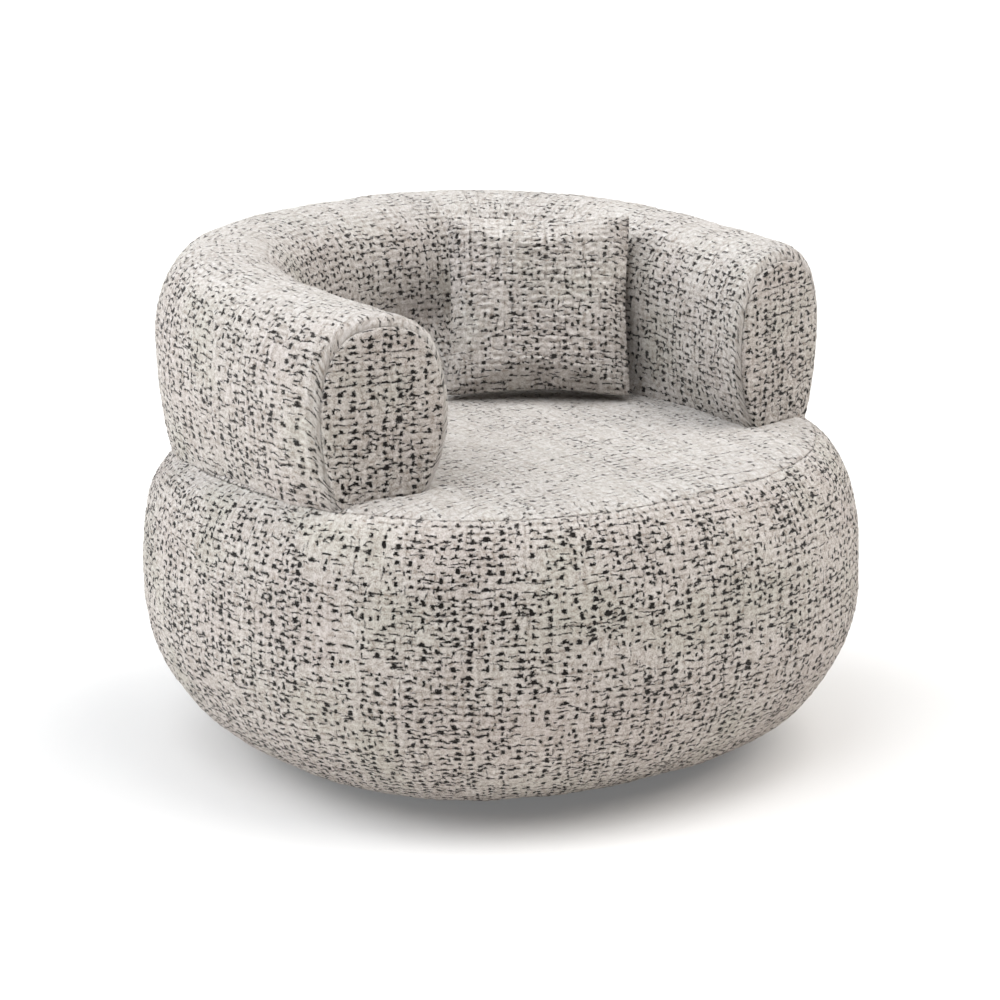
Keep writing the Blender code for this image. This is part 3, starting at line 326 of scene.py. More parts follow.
def chenille(name):
    """Nubby light pile on a dark core yarn that shows as flecks between the nubs.

    It reads the piece's weave map, in metres, and its nap attribute, which is 1
    where the pile lies over and hides the flecks; where the nap is high it also paints a cooler top
    light into the pile colour.
    """
    look = looks()
    shader = Shader(name, roughness=0.95, specular=0.08)
    shader.feed("Sheen Weight", 0.18)
    shader.feed("Sheen Roughness", 0.5)
    weave = shader.node("UVMap", {"uv_map": "weave"}, None, "UV")
    nap = shader.node("Attribute", {"attribute_name": "nap"}, None, "Fac")
    lain = nap.maximum(0.0)

    # The place counted in cells: the yarns wander and their edges are ragged
    wander = shader.parts(shader.noise(weave, 42.0, 2.0, "Color"))
    ragged = shader.parts(shader.noise(weave, 540.0, 3.0, "Color", 0.7))
    u, v, _ = shader.parts(weave)
    x = (u + (wander[0] - 0.5) * 0.016 + (ragged[0] - 0.5) * 0.0105) / look.cell_width
    y = (v + (wander[1] - 0.5) * 0.010 + (ragged[1] - 0.5) * 0.0074) / look.cell_height
    across = abs(x - math.floor(x + 0.5))
    up = y - math.floor(y + 0.5)

    # Flecks come in patches, bands and short runs, and one layer lies between the cells
    band = shader.random(math.floor(x + 0.5), 0.0, 2.0)[0]
    run = shader.random(math.floor(x / 2.0), math.floor(y + 0.5), 3.0)[0]
    patch = shader.noise(weave, 12.0)
    share = (patch - 0.5) * 1.5 + (band - 0.5) * 0.30 + (run - 0.5) * 0.35
    share = share + look.fleck_share - nap * 0.42
    small = 1 - nap * 0.25
    main = fleck_layer(shader, x, y, 10.0, share, small)
    between = fleck_layer(shader, x + 0.5, y + 0.4, 20.0, share * 0.42 - 0.02, small * 0.80)
    dark = main.maximum(between) * (1 - nap * 0.20)

    # Fine pile, drawn out along the warp where it lies over, and painted shade in the grooves
    # between the nubs
    fuzz = shader.noise(shader.vector(u * 720.0, v * 420.0), 1.0, 3.0, roughness=0.75)
    lying = shader.noise(shader.vector(u * 520.0, v * 190.0), 1.0, 3.0, roughness=0.75)
    fuzz = fuzz + (lying - fuzz) * lain
    clump = shader.noise(weave, 150.0)
    shade = shader.noise(shader.vector(u * 110.0, v * 16.0), 1.0, 2.0)
    # Painted shade: the grooves between the rows and the columns of nubs darken the colour, over
    # the real pits of the mesh
    crevice_shade = abs(up + 0.10).smooth(0.24, 0.02) * run * 0.55
    crevice_shade = crevice_shade + (0.5 - across).smooth(0.10, 0.0) * band * 0.35
    low = (0.5 - fuzz) * (6.4 - lain * 3.6) + (0.5 - shade) * 1.3
    low = low + (0.5 - clump) * (3.3 - lain * 1.3) + crevice_shade * (1 - lain * 0.6)

    tint = shader.noise(weave, 7.0)
    pile = shader.mix(tint.smooth(0.46, 0.66), look.pile, look.pile_rose)
    pile = shader.mix((1 - tint).smooth(0.50, 0.70), pile, look.pile_sage)
    # Painted light: where the nap is high, mostly on up-facing tops, the pile turns cooler and
    # greyer for the light that falls there
    pile = shader.mix(lain * 0.85, pile, look.pile_top_light)
    # Painted shade: the grooves, with the random darker tone of the noises, pull the pile towards
    # its shaded colour
    pile = shader.mix(low.smooth(-0.95, 1.55), pile, look.pile_deep)
    shader.feed("Base Color", shader.mix(dark, pile, look.fleck))
    shader.bump(fuzz * 0.50 + clump * 0.85 - crevice_shade * 0.5 - dark * 0.6, 0.0034, 0.9)
    return shader.material


def wood(name, light, dark, grain):
    """Planed wood: rings and pores, drawn out by the grain's scale along each axis."""
    shader = Shader(name, roughness=0.62, specular=0.35)
    place = shader.node("TexCoord", None, None, "Object")
    stretched = shader.node("Mapping", None, {"Vector": place, "Scale": grain}, "Vector")
    rings = shader.noise(stretched, 1.0, 4.0, roughness=0.6)
    pores = shader.noise(stretched, 7.0, 3.0)
    tone = (rings * 1.4 + pores * 0.4).smooth(0.55, 1.2)
    shader.feed("Base Color", shader.mix(tone, light, dark))
    shader.feed("Roughness", pores * 0.25 + 0.5)
    shader.bump(pores + rings * 0.5, 0.0004, 0.5)
    return shader.material


def grained(name, base, other, scale, roughness, metallic=0.0, depth=0.0002, specular=0.5):
    """Metal, plastic, painted board and lining: a fine mottle with matching bump."""
    shader = Shader(name, roughness, specular, metallic)
    place = shader.node("TexCoord", None, None, "Object")
    fine = shader.noise(place, scale, 3.0)
    broad = shader.noise(place, scale * 0.06)
    mottle = (fine * 0.5 + broad * 0.5).smooth(0.35, 0.65)
    shader.feed("Base Color", shader.mix(mottle, base, other))
    shader.feed("Roughness", (broad - 0.5) * 0.25 + roughness)
    shader.bump(fine, depth, 0.4)
    return shader.material


# Curves that the covers follow

def power_of(value, exponent):
    return np.sign(value) * np.abs(value) ** exponent


def superellipse(angle, half_x, half_y, power):
    return half_x * power_of(np.cos(angle), 2 / power), half_y * power_of(np.sin(angle), 2 / power)


def travel(*coordinates):
    """Distance along a line of points, from its start."""
    steps = np.sqrt(sum(np.diff(c) ** 2 for c in coordinates))
    return np.concatenate([[0.0], np.cumsum(steps)])


def ease(share):
    share = np.clip(share, 0.0, 1.0)
    return share * share * (3 - 2 * share)


def wave_noise(seed, u, v, spacing, octaves=3):
    """Smooth seeded noise from -1 to 1, by sines whose lengths are about the spacing."""
    rng = np.random.default_rng(seed)
    total = np.zeros_like(u)
    for _ in range(octaves * 4):
        angle = rng.uniform(0, math.tau)
        pitch = math.tau / (spacing * rng.uniform(0.6, 1.6))
        along = u * math.cos(angle) + v * math.sin(angle)
        total += np.sin(pitch * along + rng.uniform(0, math.tau))
    return total / math.sqrt(octaves * 8)


class Drum:
    """Plan outline and side profile of the seat drum."""

    def __init__(self):
        s = self.sizes = sizes()
        self.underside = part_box("dust_cover")[0].z
        self.widest = self.underside + s.belly_height
        self.edge = self.widest + s.shoulder_height
        angle = np.linspace(0.0, math.tau, 6001) + math.pi / 2
        self.x, self.y = superellipse(
            angle, s.seat_half_width, s.seat_half_depth, s.seat_plan_power
        )
        self.around = travel(self.x, self.y)
        self.girth = self.around[-1]
        seam = math.acos((1 - s.seam_inset / s.shoulder_round) ** (s.shoulder_power / 2))
        self.side = self.profile(UNDERSIDE_TURN, math.degrees(seam))
        self.top = self.profile(math.degrees(seam), 90.0)

    def profile(self, start, stop):
        """Inset, height and travel between two turns: below 0 is belly and above is shoulder."""
        s = self.sizes
        turn = np.radians(np.linspace(start, stop, 900))
        belly = turn < 0
        power = np.where(belly, s.belly_power, s.shoulder_power)
        reach = np.where(belly, s.belly_round, s.shoulder_round)
        across = np.abs(np.cos(turn)) ** (2 / power)
        rise = np.abs(np.sin(turn)) ** (2 / power)
        inset = reach * (1 - across)
        z = self.widest + np.where(belly, -s.belly_height, s.shoulder_height) * rise
        return inset, z, travel(inset, z)

    def outline(self, share):
        distance = (share % 1.0) * self.girth
        return np.interp(distance, self.around, self.x), np.interp(distance, self.around, self.y)

    def inside(self, x, y, inset, z, share=1.0):
        """Points drawn in from the outline by an inset, or to a share of it."""
        scale = (1 - inset / np.hypot(x, y)) * share
        return np.stack([x * scale, y * scale, np.broadcast_to(z, x.shape)], -1)

    def height(self, x, y):
        """Height of the seat's surface, without its crown."""
        s = self.sizes
        distance = np.hypot(x, y)
        reach = (np.abs(x) / s.seat_half_width) ** s.seat_plan_power
        reach = reach + (np.abs(y) / s.seat_half_depth) ** s.seat_plan_power
        edge = distance / reach ** (1 / s.seat_plan_power)
        across = 1 - np.clip(edge - distance, 0.0, s.shoulder_round) / s.shoulder_round
        rise = (1 - across ** s.shoulder_power) ** (1 / s.shoulder_power)
        return self.widest + s.shoulder_height * rise


class Roll:
    """Centre line and sections of the back roll."""

    def __init__(self):
        s = self.sizes = sizes()
        drum = self.drum = Drum()
        start = -math.radians(s.back_end_angle)
        angle = np.linspace(start, math.pi - start, 4001)
        self.x, y = superellipse(
            angle, s.back_line_half_width, s.back_line_half_depth, s.back_line_power
        )
        self.y = y + s.back_line_shift
        self.along = travel(self.x, self.y)
        self.length = self.along[-1]
        self.top = drum.edge + s.back_rise
        self.widest = drum.edge + s.back_widest_rise

    def point(self, distance):
        """Places on the line, which runs on straight past both its ends."""
        x = np.interp(distance, self.along, self.x)
        y = np.interp(distance, self.along, self.y)
        for end, i, j in ((0.0, 1, 0), (self.length, -2, -1)):
            beyond = np.maximum(0.0, (distance - end) * (1 if end else -1))
            step = math.hypot(self.x[j] - self.x[i], self.y[j] - self.y[i])
            x = x + beyond * (self.x[j] - self.x[i]) / step
            y = y + beyond * (self.y[j] - self.y[i]) / step
        return x, y

    def chord(self, distance):
        ahead, behind = self.point(distance + TANGENT_STEP), self.point(distance - TANGENT_STEP)
        return ahead[0] - behind[0], ahead[1] - behind[1]

    def across(self, distance):
        """Unit vector across the roll, outwards, turned towards the arm face near an end."""
        dx, dy = self.chord(distance)
        size = np.hypot(dx, dy)
        nx, ny = dy / size, -dx / size
        share = ease(self.from_end(distance) / self.sizes.back_face_blend)
        turn = math.radians(self.sizes.back_face_turn) * (1 - share)
        turn = np.where(distance < self.length / 2, turn, -turn)
        return nx * np.cos(turn) - ny * np.sin(turn), nx * np.sin(turn) + ny * np.cos(turn)

    def rear_share(self, distance):
        return ease(1 - np.abs(2 * distance / self.length - 1))

    def from_end(self, distance):
        return np.minimum(distance, self.length - distance)

    def quarter_round(self, distance, reach):
        """0 along the roll and 1 at an arm face, by a quarter ellipse over the reach."""
        share = np.clip(1 - self.from_end(distance) / reach, 0, 1)
        return 1 - np.sqrt(1 - share * share)

    def crest(self, distance):
        s = self.sizes
        slope = s.back_arm_drop * (1 - self.rear_share(distance))
        end = s.back_end_drop * self.quarter_round(distance, s.back_end_drop_reach)
        return self.top - slope - end

    def sink(self, distance):
        """How far the roll presses the seat down at its foot."""
        s = self.sizes
        deeper = s.crease_sink - s.crease_sink_arm
        return s.crease_sink_arm + deeper * ease(2.2 * self.rear_share(distance))

    def foot(self, distance, side):
        """Offset of the outer or inner foot from the roll's line."""
        s, share = self.sizes, self.rear_share(distance)
        taper = s.back_end_taper * (1 - ease(self.from_end(distance) / s.back_face_blend))
        arm, rear = s.back_inner_foot_arm, s.back_inner_foot_rear
        if side > 0:
            arm, rear = s.back_outer_foot_arm, s.back_outer_foot_rear
            share = ease((share - s.back_outer_tuck_start) / s.back_outer_tuck_span)
        return arm + (rear - arm) * share - taper

    def half(self, distance, side, depth):
        """Half a section from the foot up to the top, as offset and height."""
        s, foot = self.sizes, self.foot(distance, side)
        widest = s.back_half_thickness + max(0.0, foot - s.back_half_thickness) * s.back_inner_lean
        (x, y), (nx, ny) = self.point(distance), self.across(distance)
        base = self.drum.height(x + nx * side * foot, y + ny * side * foot)
        if side > 0:
            base = base - self.sink(distance)
        rise = np.linspace(0, 1, 60, endpoint=False)
        flank = foot + (widest - foot) * (1 - (1 - rise) ** s.back_flank_power)
        turn = np.linspace(0, math.pi / 2, 120)
        arch = (widest - depth) * np.cos(turn) ** (2 / s.back_section_power)
        offset = np.concatenate([flank - depth, arch])
        reach = self.crest(distance) - depth - self.widest
        high = self.widest + reach * np.sin(turn) ** (2 / s.back_section_power)
        return side * offset, np.concatenate([base + (self.widest - base) * rise, high])

    def section(self, distance, depth=0.0):
        """A whole section from the outer foot over the top to the inner foot."""
        outer, inner = self.half(distance, 1, depth), self.half(distance, -1, depth)
        offset = np.concatenate([outer[0], inner[0][-2::-1]])
        z = np.concatenate([outer[1], inner[1][-2::-1]])
        return offset, z


def sink_beside(points):
    """Presses the seat down where the roll stands on it."""
    roll = Roll()
    distance = np.linspace(0, roll.length, 160)
    (x, y), (nx, ny) = roll.point(distance), roll.across(distance)
    reach, depth = roll.foot(distance, 1), roll.sink(distance)
    foot_x, foot_y = x + nx * reach, y + ny * reach
    near = np.where(points[:, 2] > roll.drum.widest)[0]
    # In parts, which keeps each table of distances small
    for part in np.array_split(near, 12):
        gaps = np.hypot(points[part, 0:1] - foot_x, points[part, 1:2] - foot_y)
        closest = gaps.argmin(1)
        share = 1 - ease(gaps.min(1) / roll.sizes.crease_width)
        points[part, 2] -= depth[closest] * share


# Making pieces

def quick_step(count):
    """A whole number of columns."""
    return round(count)


def grid_of(columns, rows):
    """A flat sheet with a weave map, as a bmesh, and the places of its vertices in 0 to 1."""
    bm = bmesh.new()
    bm.loops.layers.uv.new("weave")
    bmesh.ops.create_grid(bm, x_segments=columns, y_segments=rows, size=0.5, calc_uvs=True)
    places = np.array([v.co[:2] for v in bm.verts]) + 0.5
    return bm, places[:, 0], places[:, 1]


def place_points(bm, points):
    for vertex, point in zip(bm.verts, points.tolist()):
        vertex.co = point


def lay_cloth(bm, points, u, v):
    """Moves the vertices to their places and sets the weave map, in metres for each vertex."""
    place_points(bm, points)
    layer = bm.loops.layers.uv.active
    places = list(zip(u.tolist(), v.tolist()))
    bm.verts.index_update()
    for face in bm.faces:
        for loop in face.loops:
            loop[layer].uv = places[loop.vert.index]


def weld_border(bm):
    border = [v for v in bm.verts if v.is_boundary]
    bmesh.ops.remove_doubles(bm, verts=border, dist=0.00005)


def verts_of(made):
    """The vertices among what an operator made."""
    return [item for item in made if isinstance(item, bmesh.types.BMVert)]


def close_border(bm, moves):
    """Extrudes the open border by each move in turn, then fills it with one face."""
    edges = [e for e in bm.edges if e.is_boundary]
    for move in moves:
        made = bmesh.ops.extrude_edge_only(bm, edges=edges)["geom"]
        for vertex in verts_of(made):
            vertex.co = move(vertex.co)
        edges = [e for e in made if isinstance(e, bmesh.types.BMEdge) and e.is_boundary]
    bmesh.ops.edgeloop_fill(bm, edges=edges)


def thin_flecks(bm, values):
    """Marks where few flecks show, from 0 to 1 for each vertex."""
    layer = bm.verts.layers.float.new("bare")
    for vertex, value in zip(bm.verts, values.tolist()):
        vertex[layer] = value


def add_object(name, data):
    obj = bpy.data.objects.new(name, data)
    bpy.context.scene.collection.objects.link(obj)
    return obj


def mesh_object(name, bm):
    """Turns a bmesh into an object in the scene."""
    mesh = bpy.data.meshes.new(name)
    bm.to_mesh(mesh)
    bm.free()
    return add_object(name, mesh)


def finish_piece(name, bm, material, body):
    """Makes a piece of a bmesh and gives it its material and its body."""
    bmesh.ops.recalc_face_normals(bm, faces=bm.faces)
    piece = mesh_object(name, bm)
    piece.data.shade_smooth()
    piece.data.materials.append(material)
    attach(piece, body)
    return piece


def finish_cover(name, bm, nap, base=0.0, body="seat"):
    """A piece in tweed: its pile lies over by the nap on top and by the base all over."""
    material = bpy.data.materials.get("nubby_tweed") or chenille("nubby_tweed")
    piece = finish_piece(name, bm, material, body)
    mesh = piece.data
    count = len(mesh.vertices)
    normals, bare = np.zeros(count * 3, np.float32), np.zeros(count, np.float32)
    mesh.vertices.foreach_get("normal", normals)
    if "bare" in mesh.attributes:
        mesh.attributes["bare"].data.foreach_get("value", bare)
    up = normals.reshape(-1, 3)[:, 2]
    # The nap hides flecks and also sets the painted top-light colour of the pile
    lying = np.maximum(nap * ease((up - 0.55) / 0.42) + base, bare)
    layer = mesh.attributes.new("nap", "FLOAT", "POINT")
    layer.data.foreach_set("value", lying.astype(np.float32))
    return piece


def normals_of(surface, u, v, step=0.0008):
    """Unit normals of a surface given as a function of u and v."""
    du = surface(u + step, v) - surface(u - step, v)
    dv = surface(u, v + step) - surface(u, v - step)
    normal = np.cross(du, dv)
    return normal / np.maximum(np.linalg.norm(normal, axis=1, keepdims=True), 1e-12)


def nub_relief(u, v, seed):
    """Height of the pile at a place of the weave map: low on the crossings of the yarns."""
    look = looks()
    warp = 0.5 + 0.5 * np.cos(math.tau * u / look.cell_width)
    weft = 0.5 + 0.5 * np.cos(math.tau * v / look.cell_height)
    pits = 0.75 * warp * weft + 0.10 * weft ** 2 + 0.15 * warp ** 2
    strength = 0.9 + 0.5 * wave_noise(seed, u, v, 0.035)
    lumps = 0.8 * wave_noise(seed + 1, u, v, 0.013, 4)
    return look.relief * (strength * (0.3 - pits) + lumps * 0.6)


def soft_waves(u, v, seed):
    """Slow unevenness of a cloth pulled over foam."""
    return 0.0011 * wave_noise(seed, u, v, 0.16) + 0.0006 * wave_noise(seed + 7, u, v, 0.07)


def seam_pull(distance, depth=0.0003, width=0.008):
    """How far a sewn edge is drawn in, at a distance from it."""
    return -depth * np.clip(1 - distance / width, 0, 1) ** 2


def add_seat_side():
    """The side of the drum: a closed belt with dense cloth outside and a plain wall inside."""
    drum, look = Drum(), looks()
    inset, z, run = drum.side
    tall = run[-1]
    columns, rows = quick_step(drum.girth / look.mesh_step), quick_step(tall / look.mesh_step)
    back_rows = 8
    bm, u, v = grid_of(columns, rows + back_rows)
    # 0 to 1 up the outside, and beyond 1 down the inner wall
    level = v * (rows + back_rows) / rows

    def skin(a, b):
        x, y = drum.outline(a)
        distance = np.clip(b, 0, 1) * tall
        return drum.inside(x, y, np.interp(distance, run, inset), np.interp(distance, run, z))

    outside = level <= 1.0 + 1e-6
    points = skin(u, np.minimum(level, 1.0))
    normal = normals_of(skin, u, np.clip(level, 0.002, 0.998))
    cloth_u, cloth_v = u * drum.girth, level * tall
    height = nub_relief(cloth_u, cloth_v, 11) + soft_waves(cloth_u, cloth_v, 21)
    edge = np.minimum(tall - cloth_v, cloth_v)
    height = height * ease(edge / NUB_FADE) + seam_pull(tall - cloth_v)
    height = height * ease(np.minimum(u, 1 - u) / 0.004)
    points = points + normal * height[:, None]
    sink_beside(points)

    share = np.clip((level - 1.0) * rows / back_rows, 0, 1)
    x, y = drum.outline(u)
    back_z = z[-1] - BELT_DROP - share * (z[-1] - z[0] - BELT_MARGIN)
    wall = drum.inside(x, y, np.interp(back_z, z, inset) + BELT_DEPTH, back_z)
    points = np.where(outside[:, None], points, wall)
    last = share > 0.999
    points[last] = skin(u[last], np.zeros(last.sum()))
    lay_cloth(bm, points, cloth_u, cloth_v)
    weld_border(bm)
    piece = finish_cover("seat_side_cover", bm, 0.8, -0.17)
    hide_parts("seat_band_cover", "side_foam")


def concentric(u, v):
    """Square to ring share and turn: the square's border is the whole outline."""
    a, b = 2 * u - 1, 2 * v - 1
    ring = np.maximum(np.abs(a), np.abs(b))
    safe = np.maximum(ring, 1e-9)
    eighth = np.where(
        np.abs(a) >= np.abs(b),
        np.where(a > 0, b / safe, 4 - b / safe),
        np.where(b > 0, 2 - a / safe, 6 + a / safe),
    )
    return ring, (eighth / 8.0) % 1.0


def add_seat_top():
    """The seat's top panel: a crowned cushion, sewn to the side along the shoulder."""
    drum, look = Drum(), looks()
    inset, z, run = drum.top
    s = drum.sizes
    shoulder = run[-1]
    centre = s.seat_half_depth - s.shoulder_round
    reach = centre + shoulder
    cells = quick_step(2 * reach / look.mesh_step)
    bm, u, v = grid_of(cells, cells)
    ring, turn = concentric(u, v)

    def skin(radius, around):
        x, y = drum.outline(around)
        distance = np.clip(radius, 0, 1) * reach
        share = np.clip(distance / centre, 0, 1)
        back = np.clip(shoulder - (distance - centre), 0, shoulder)
        level = np.interp(back, run, z) + s.seat_crown * (1 - share ** 2)
        return drum.inside(x, y, np.interp(back, run, inset), level, share)

    points = skin(ring, turn)
    normal = normals_of(skin, np.clip(ring, 0.004, 0.998), turn)
    normal *= np.sign(normal[:, 2:3])
    height = nub_relief(points[:, 0], points[:, 1], 31) * 0.9
    height += soft_waves(points[:, 0], points[:, 1], 41)
    from_seam = (1 - ring) * reach
    height = height * ease(from_seam / NUB_FADE) + seam_pull(from_seam)
    points = points + normal * height[:, None]
    sink_beside(points)
    lay_cloth(bm, points, points[:, 0], points[:, 1])

    def inwards(amount, level):
        def move(co):
            scale = 1 - amount / math.hypot(co.x, co.y)
            return Vector((co.x * scale, co.y * scale, level))
        return move

    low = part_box("cushion_foam")[0].z
    close_border(bm, [inwards(LIP_INSET, z[0] - LIP_DROP), inwards(FOOT_INSET, low)])
    piece = finish_cover("seat_top_cushion", bm, 1.0)
    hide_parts("seat_top_cover", "cushion_foam")


def add_back_roll():
    """The padded back: one cover over the whole roll, closed under its foot."""
    roll, look = Roll(), looks()
    girth = travel(*roll.section(roll.length / 4))[-1]

    # Places along the roll, closer together where it is rounded off at each arm face
    reach = roll.sizes.back_end_round
    turn = np.linspace(0, math.pi / 2, 9)[:-1]
    ends = reach * (1 - np.cos(turn))
    middle = np.linspace(reach, roll.length - reach, quick_step(roll.length / look.mesh_step))
    stations = np.concatenate([ends, middle, roll.length - ends[::-1]])
    along = np.concatenate([reach * (turn - math.pi / 2), middle - reach])
    along = np.concatenate([along, along[-1] + reach * (math.pi / 2 - turn[::-1])])
    columns, rows, under = len(stations) - 1, quick_step(girth / look.mesh_step), 4
    bm, u, v = grid_of(columns, rows + under)
    level = v * (rows + under) / rows
    on_face = np.minimum(level, 1.0)

    # Each section, evened out over its length
    even = np.linspace(0, 1, 240)
    offsets, heights, travels = (np.zeros((columns + 1, len(even))) for _ in range(3))
    for i, station in enumerate(stations):
        offset, z = roll.section(station, reach * roll.quarter_round(station, reach))
        run = travel(offset, z)
        offsets[i] = np.interp(even * run[-1], run, offset)
        heights[i] = np.interp(even * run[-1], run, z)
        travels[i] = even * run[-1] - run[np.argmax(z)]

    def at(share, values):
        """A value along the roll, from its values at the stations."""
        return np.interp(share * columns, np.arange(columns + 1), values)

    def read(table, a, b):
        """A value on the skin, from a table over the stations and their sections."""
        a, b = np.clip(a, 0, 1) * columns, np.clip(b, 0, 1) * (len(even) - 1)
        i, j = np.minimum(a.astype(int), columns - 1), np.minimum(b.astype(int), len(even) - 2)
        p, q = a - i, b - j
        low = table[i, j] * (1 - q) + table[i, j + 1] * q
        high = table[i + 1, j] * (1 - q) + table[i + 1, j + 1] * q
        return low * (1 - p) + high * p

    def skin(a, b):
        distance = at(a, stations)
        (x, y), (nx, ny) = roll.point(distance), roll.across(distance)
        offset = read(offsets, a, b)
        return np.stack([x + nx * offset, y + ny * offset, read(heights, a, b)], -1)

    points = skin(u, on_face)
    normal = normals_of(skin, np.clip(u, 0.0012, 0.9988), np.clip(level, 0.006, 0.994), 0.001)
    station = at(u, stations)
    centre_x, centre_y = roll.point(np.clip(station, 0.03, roll.length - 0.03))
    hub = np.stack([centre_x, centre_y, np.full_like(u, roll.widest)], -1)
    normal *= np.sign(np.sum(normal * (points - hub), 1, keepdims=True))

    # The weave stays square where the sections slant towards an arm face
    cloth_u, cloth_v = at(u, along), read(travels, u, on_face)
    from_face = np.minimum(cloth_u - along[0], along[-1] - cloth_u)
    (dx, dy), (nx, ny) = roll.chord(station), roll.across(station)
    slant = (nx * dx + ny * dy) / (2 * TANGENT_STEP)
    cloth_u = cloth_u + slant * read(offsets, u, on_face)
    height = nub_relief(cloth_u, cloth_v, 51) + soft_waves(cloth_u, cloth_v, 61)
    height = height * ease(from_face / NUB_FADE) + seam_pull(from_face, 0.0004, 0.005)
    points = points + normal * height[:, None]

    # Under its foot the cover runs back from the inner edge to the outer one
    share = np.clip((level - 1.0) * rows / under, 0, 1)
    below = share > 1e-6
    start, stop = skin(u[below], np.ones(below.sum())), skin(u[below], np.zeros(below.sum()))
    part = share[below][:, None]
    hanging = start * (1 - part) + stop * part
    hanging[:, 2] -= ROLL_SAG * np.sin(math.pi * share[below]) ** 0.5
    points[below] = hanging
    last = share > 0.999
    points[last] = points[[np.argmin(np.abs(u - a) + v) for a in u[last]]]
    lay_cloth(bm, points, cloth_u, cloth_v)
    # Few flecks show on the turned edge beside a face
    thin_flecks(bm, 0.7 * (1 - ease((from_face - 0.006) / 0.012)))
    weld_border(bm)
    bmesh.ops.holes_fill(bm, edges=[e for e in bm.edges if e.is_boundary], sides=0)
    piece = finish_cover("back_roll_cover", bm, 0.75, 0.15)
    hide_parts("back_cover", "back_foam_outer", "back_foam_inner", "back_foam_top")


def add_arm_face(name, right):
    """One padded arm face: a D-shaped cushion with a rounded edge."""
    roll = Roll()
    s = roll.sizes
    distance = 0.0 if right else roll.length
    offset, z = roll.section(distance, s.back_end_round)
    offset, z = offset[::-1], z[::-1]
    low = z.min() - ARM_PAD_SKIRT
    offset = np.concatenate([offset, [offset[-1], offset[0], offset[0]]])
    z = np.concatenate([z, [low, low, z[0]]])
    run = travel(offset, z)
    hub_z = (z.max() + z.min()) / 2
    cells = quick_step(ARM_PAD_CELLS)
    bm, u, v = grid_of(cells, cells)
    ring, turn = concentric(u, v)
    edge_x = np.interp(turn * run[-1], run, offset)
    edge_z = np.interp(turn * run[-1], run, z) - hub_z
    spread = np.hypot(edge_x, edge_z)
    share = ring ** 0.86
    here, high = edge_x * share, hub_z + edge_z * share

    # How far the pad stands out: rounded off at its edge, crowned in its middle
    inward, rounding = (1 - share) * spread, s.arm_pad_round
    fall = rounding * (1 - np.sqrt(1 - np.clip(1 - inward / rounding, 0, 1) ** 2))
    out = s.arm_pad_thickness - fall + s.arm_pad_swell * (1 - ring ** 2)
    out += nub_relief(here, high, 71 + right) * ease(inward / NUB_FADE)
    (x, y), (nx, ny) = roll.point(distance), roll.across(distance)
    way = np.array([ny, -nx]) if right else np.array([-ny, nx])
    points = np.stack([x + nx * here + way[0] * out, y + ny * here + way[1] * out, high], -1)
    unrolled = (s.arm_pad_thickness + s.arm_pad_swell - out) / spread
    lay_cloth(bm, points, here + edge_x * unrolled, high + edge_z * unrolled)
    back = Vector((way[0], way[1], 0)) * (s.arm_pad_thickness - rounding)
    close_border(bm, [lambda co: co - back])
    piece = finish_cover(name, bm, 0.6, -0.25)
    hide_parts("arm_end_pad_right" if right else "arm_end_pad_left")


def inflate(obj, frames, pressure):
    """Blows a sewn cushion up as cloth, and returns where its vertices come to rest."""
    cloth = obj.modifiers.new("blow_up", "CLOTH")
    settings = cloth.settings
    settings.quality = 8
    settings.mass = 0.3
    settings.air_damping = 3.0
    settings.tension_stiffness = settings.compression_stiffness = 30.0
    settings.shear_stiffness = 12.0
    settings.bending_stiffness = 8.0
    settings.use_pressure = True
    settings.uniform_pressure_force = pressure
    settings.effector_weights.gravity = 0.0
    cloth.point_cache.frame_start, cloth.point_cache.frame_end = 1, frames
    scene = bpy.context.scene
    for number in range(1, frames + 1):
        scene.frame_set(number)
    resting = obj.evaluated_get(bpy.context.evaluated_depsgraph_get()).data
    places = np.zeros(len(resting.vertices) * 3, np.float32)
    resting.vertices.foreach_get("co", places)
    scene.frame_set(1)
    obj.modifiers.remove(cloth)
    return places.reshape(-1, 3)


def sewn_panels(cells):
    """Two flat square panels sewn together along their edges."""
    bm, u, v = grid_of(cells, cells)
    x, z = (u - 0.5) * PILLOW_PANEL, (v - 0.5) * PILLOW_PANEL
    edge = np.minimum(np.minimum(u, 1 - u), np.minimum(v, 1 - v))
    lay_cloth(bm, np.stack([x, -0.004 * ease(edge * cells), z], -1), x, z)
    made = bmesh.ops.duplicate(bm, geom=bm.verts[:] + bm.edges[:] + bm.faces[:])["geom"]
    for vertex in verts_of(made):
        vertex.co.y *= -1
    weld_border(bm)
    bmesh.ops.recalc_face_normals(bm, faces=bm.faces)
    return mesh_object("pillow_panels", bm)


def blown_pillow():
    """The sewn panels blown up and smoothed, as a bmesh."""
    obj = sewn_panels(PILLOW_CELLS)
    places = inflate(obj, frames=20, pressure=4.5)
    obj.data.vertices.foreach_set("co", places.ravel())
    smooth = obj.modifiers.new("smooth", "SUBSURF")
    smooth.levels = smooth.render_levels = 2
    evaluated = obj.evaluated_get(bpy.context.evaluated_depsgraph_get())
    bm = bmesh.new()
    bm.from_mesh(evaluated.data)
    bpy.data.objects.remove(obj)
    return bm


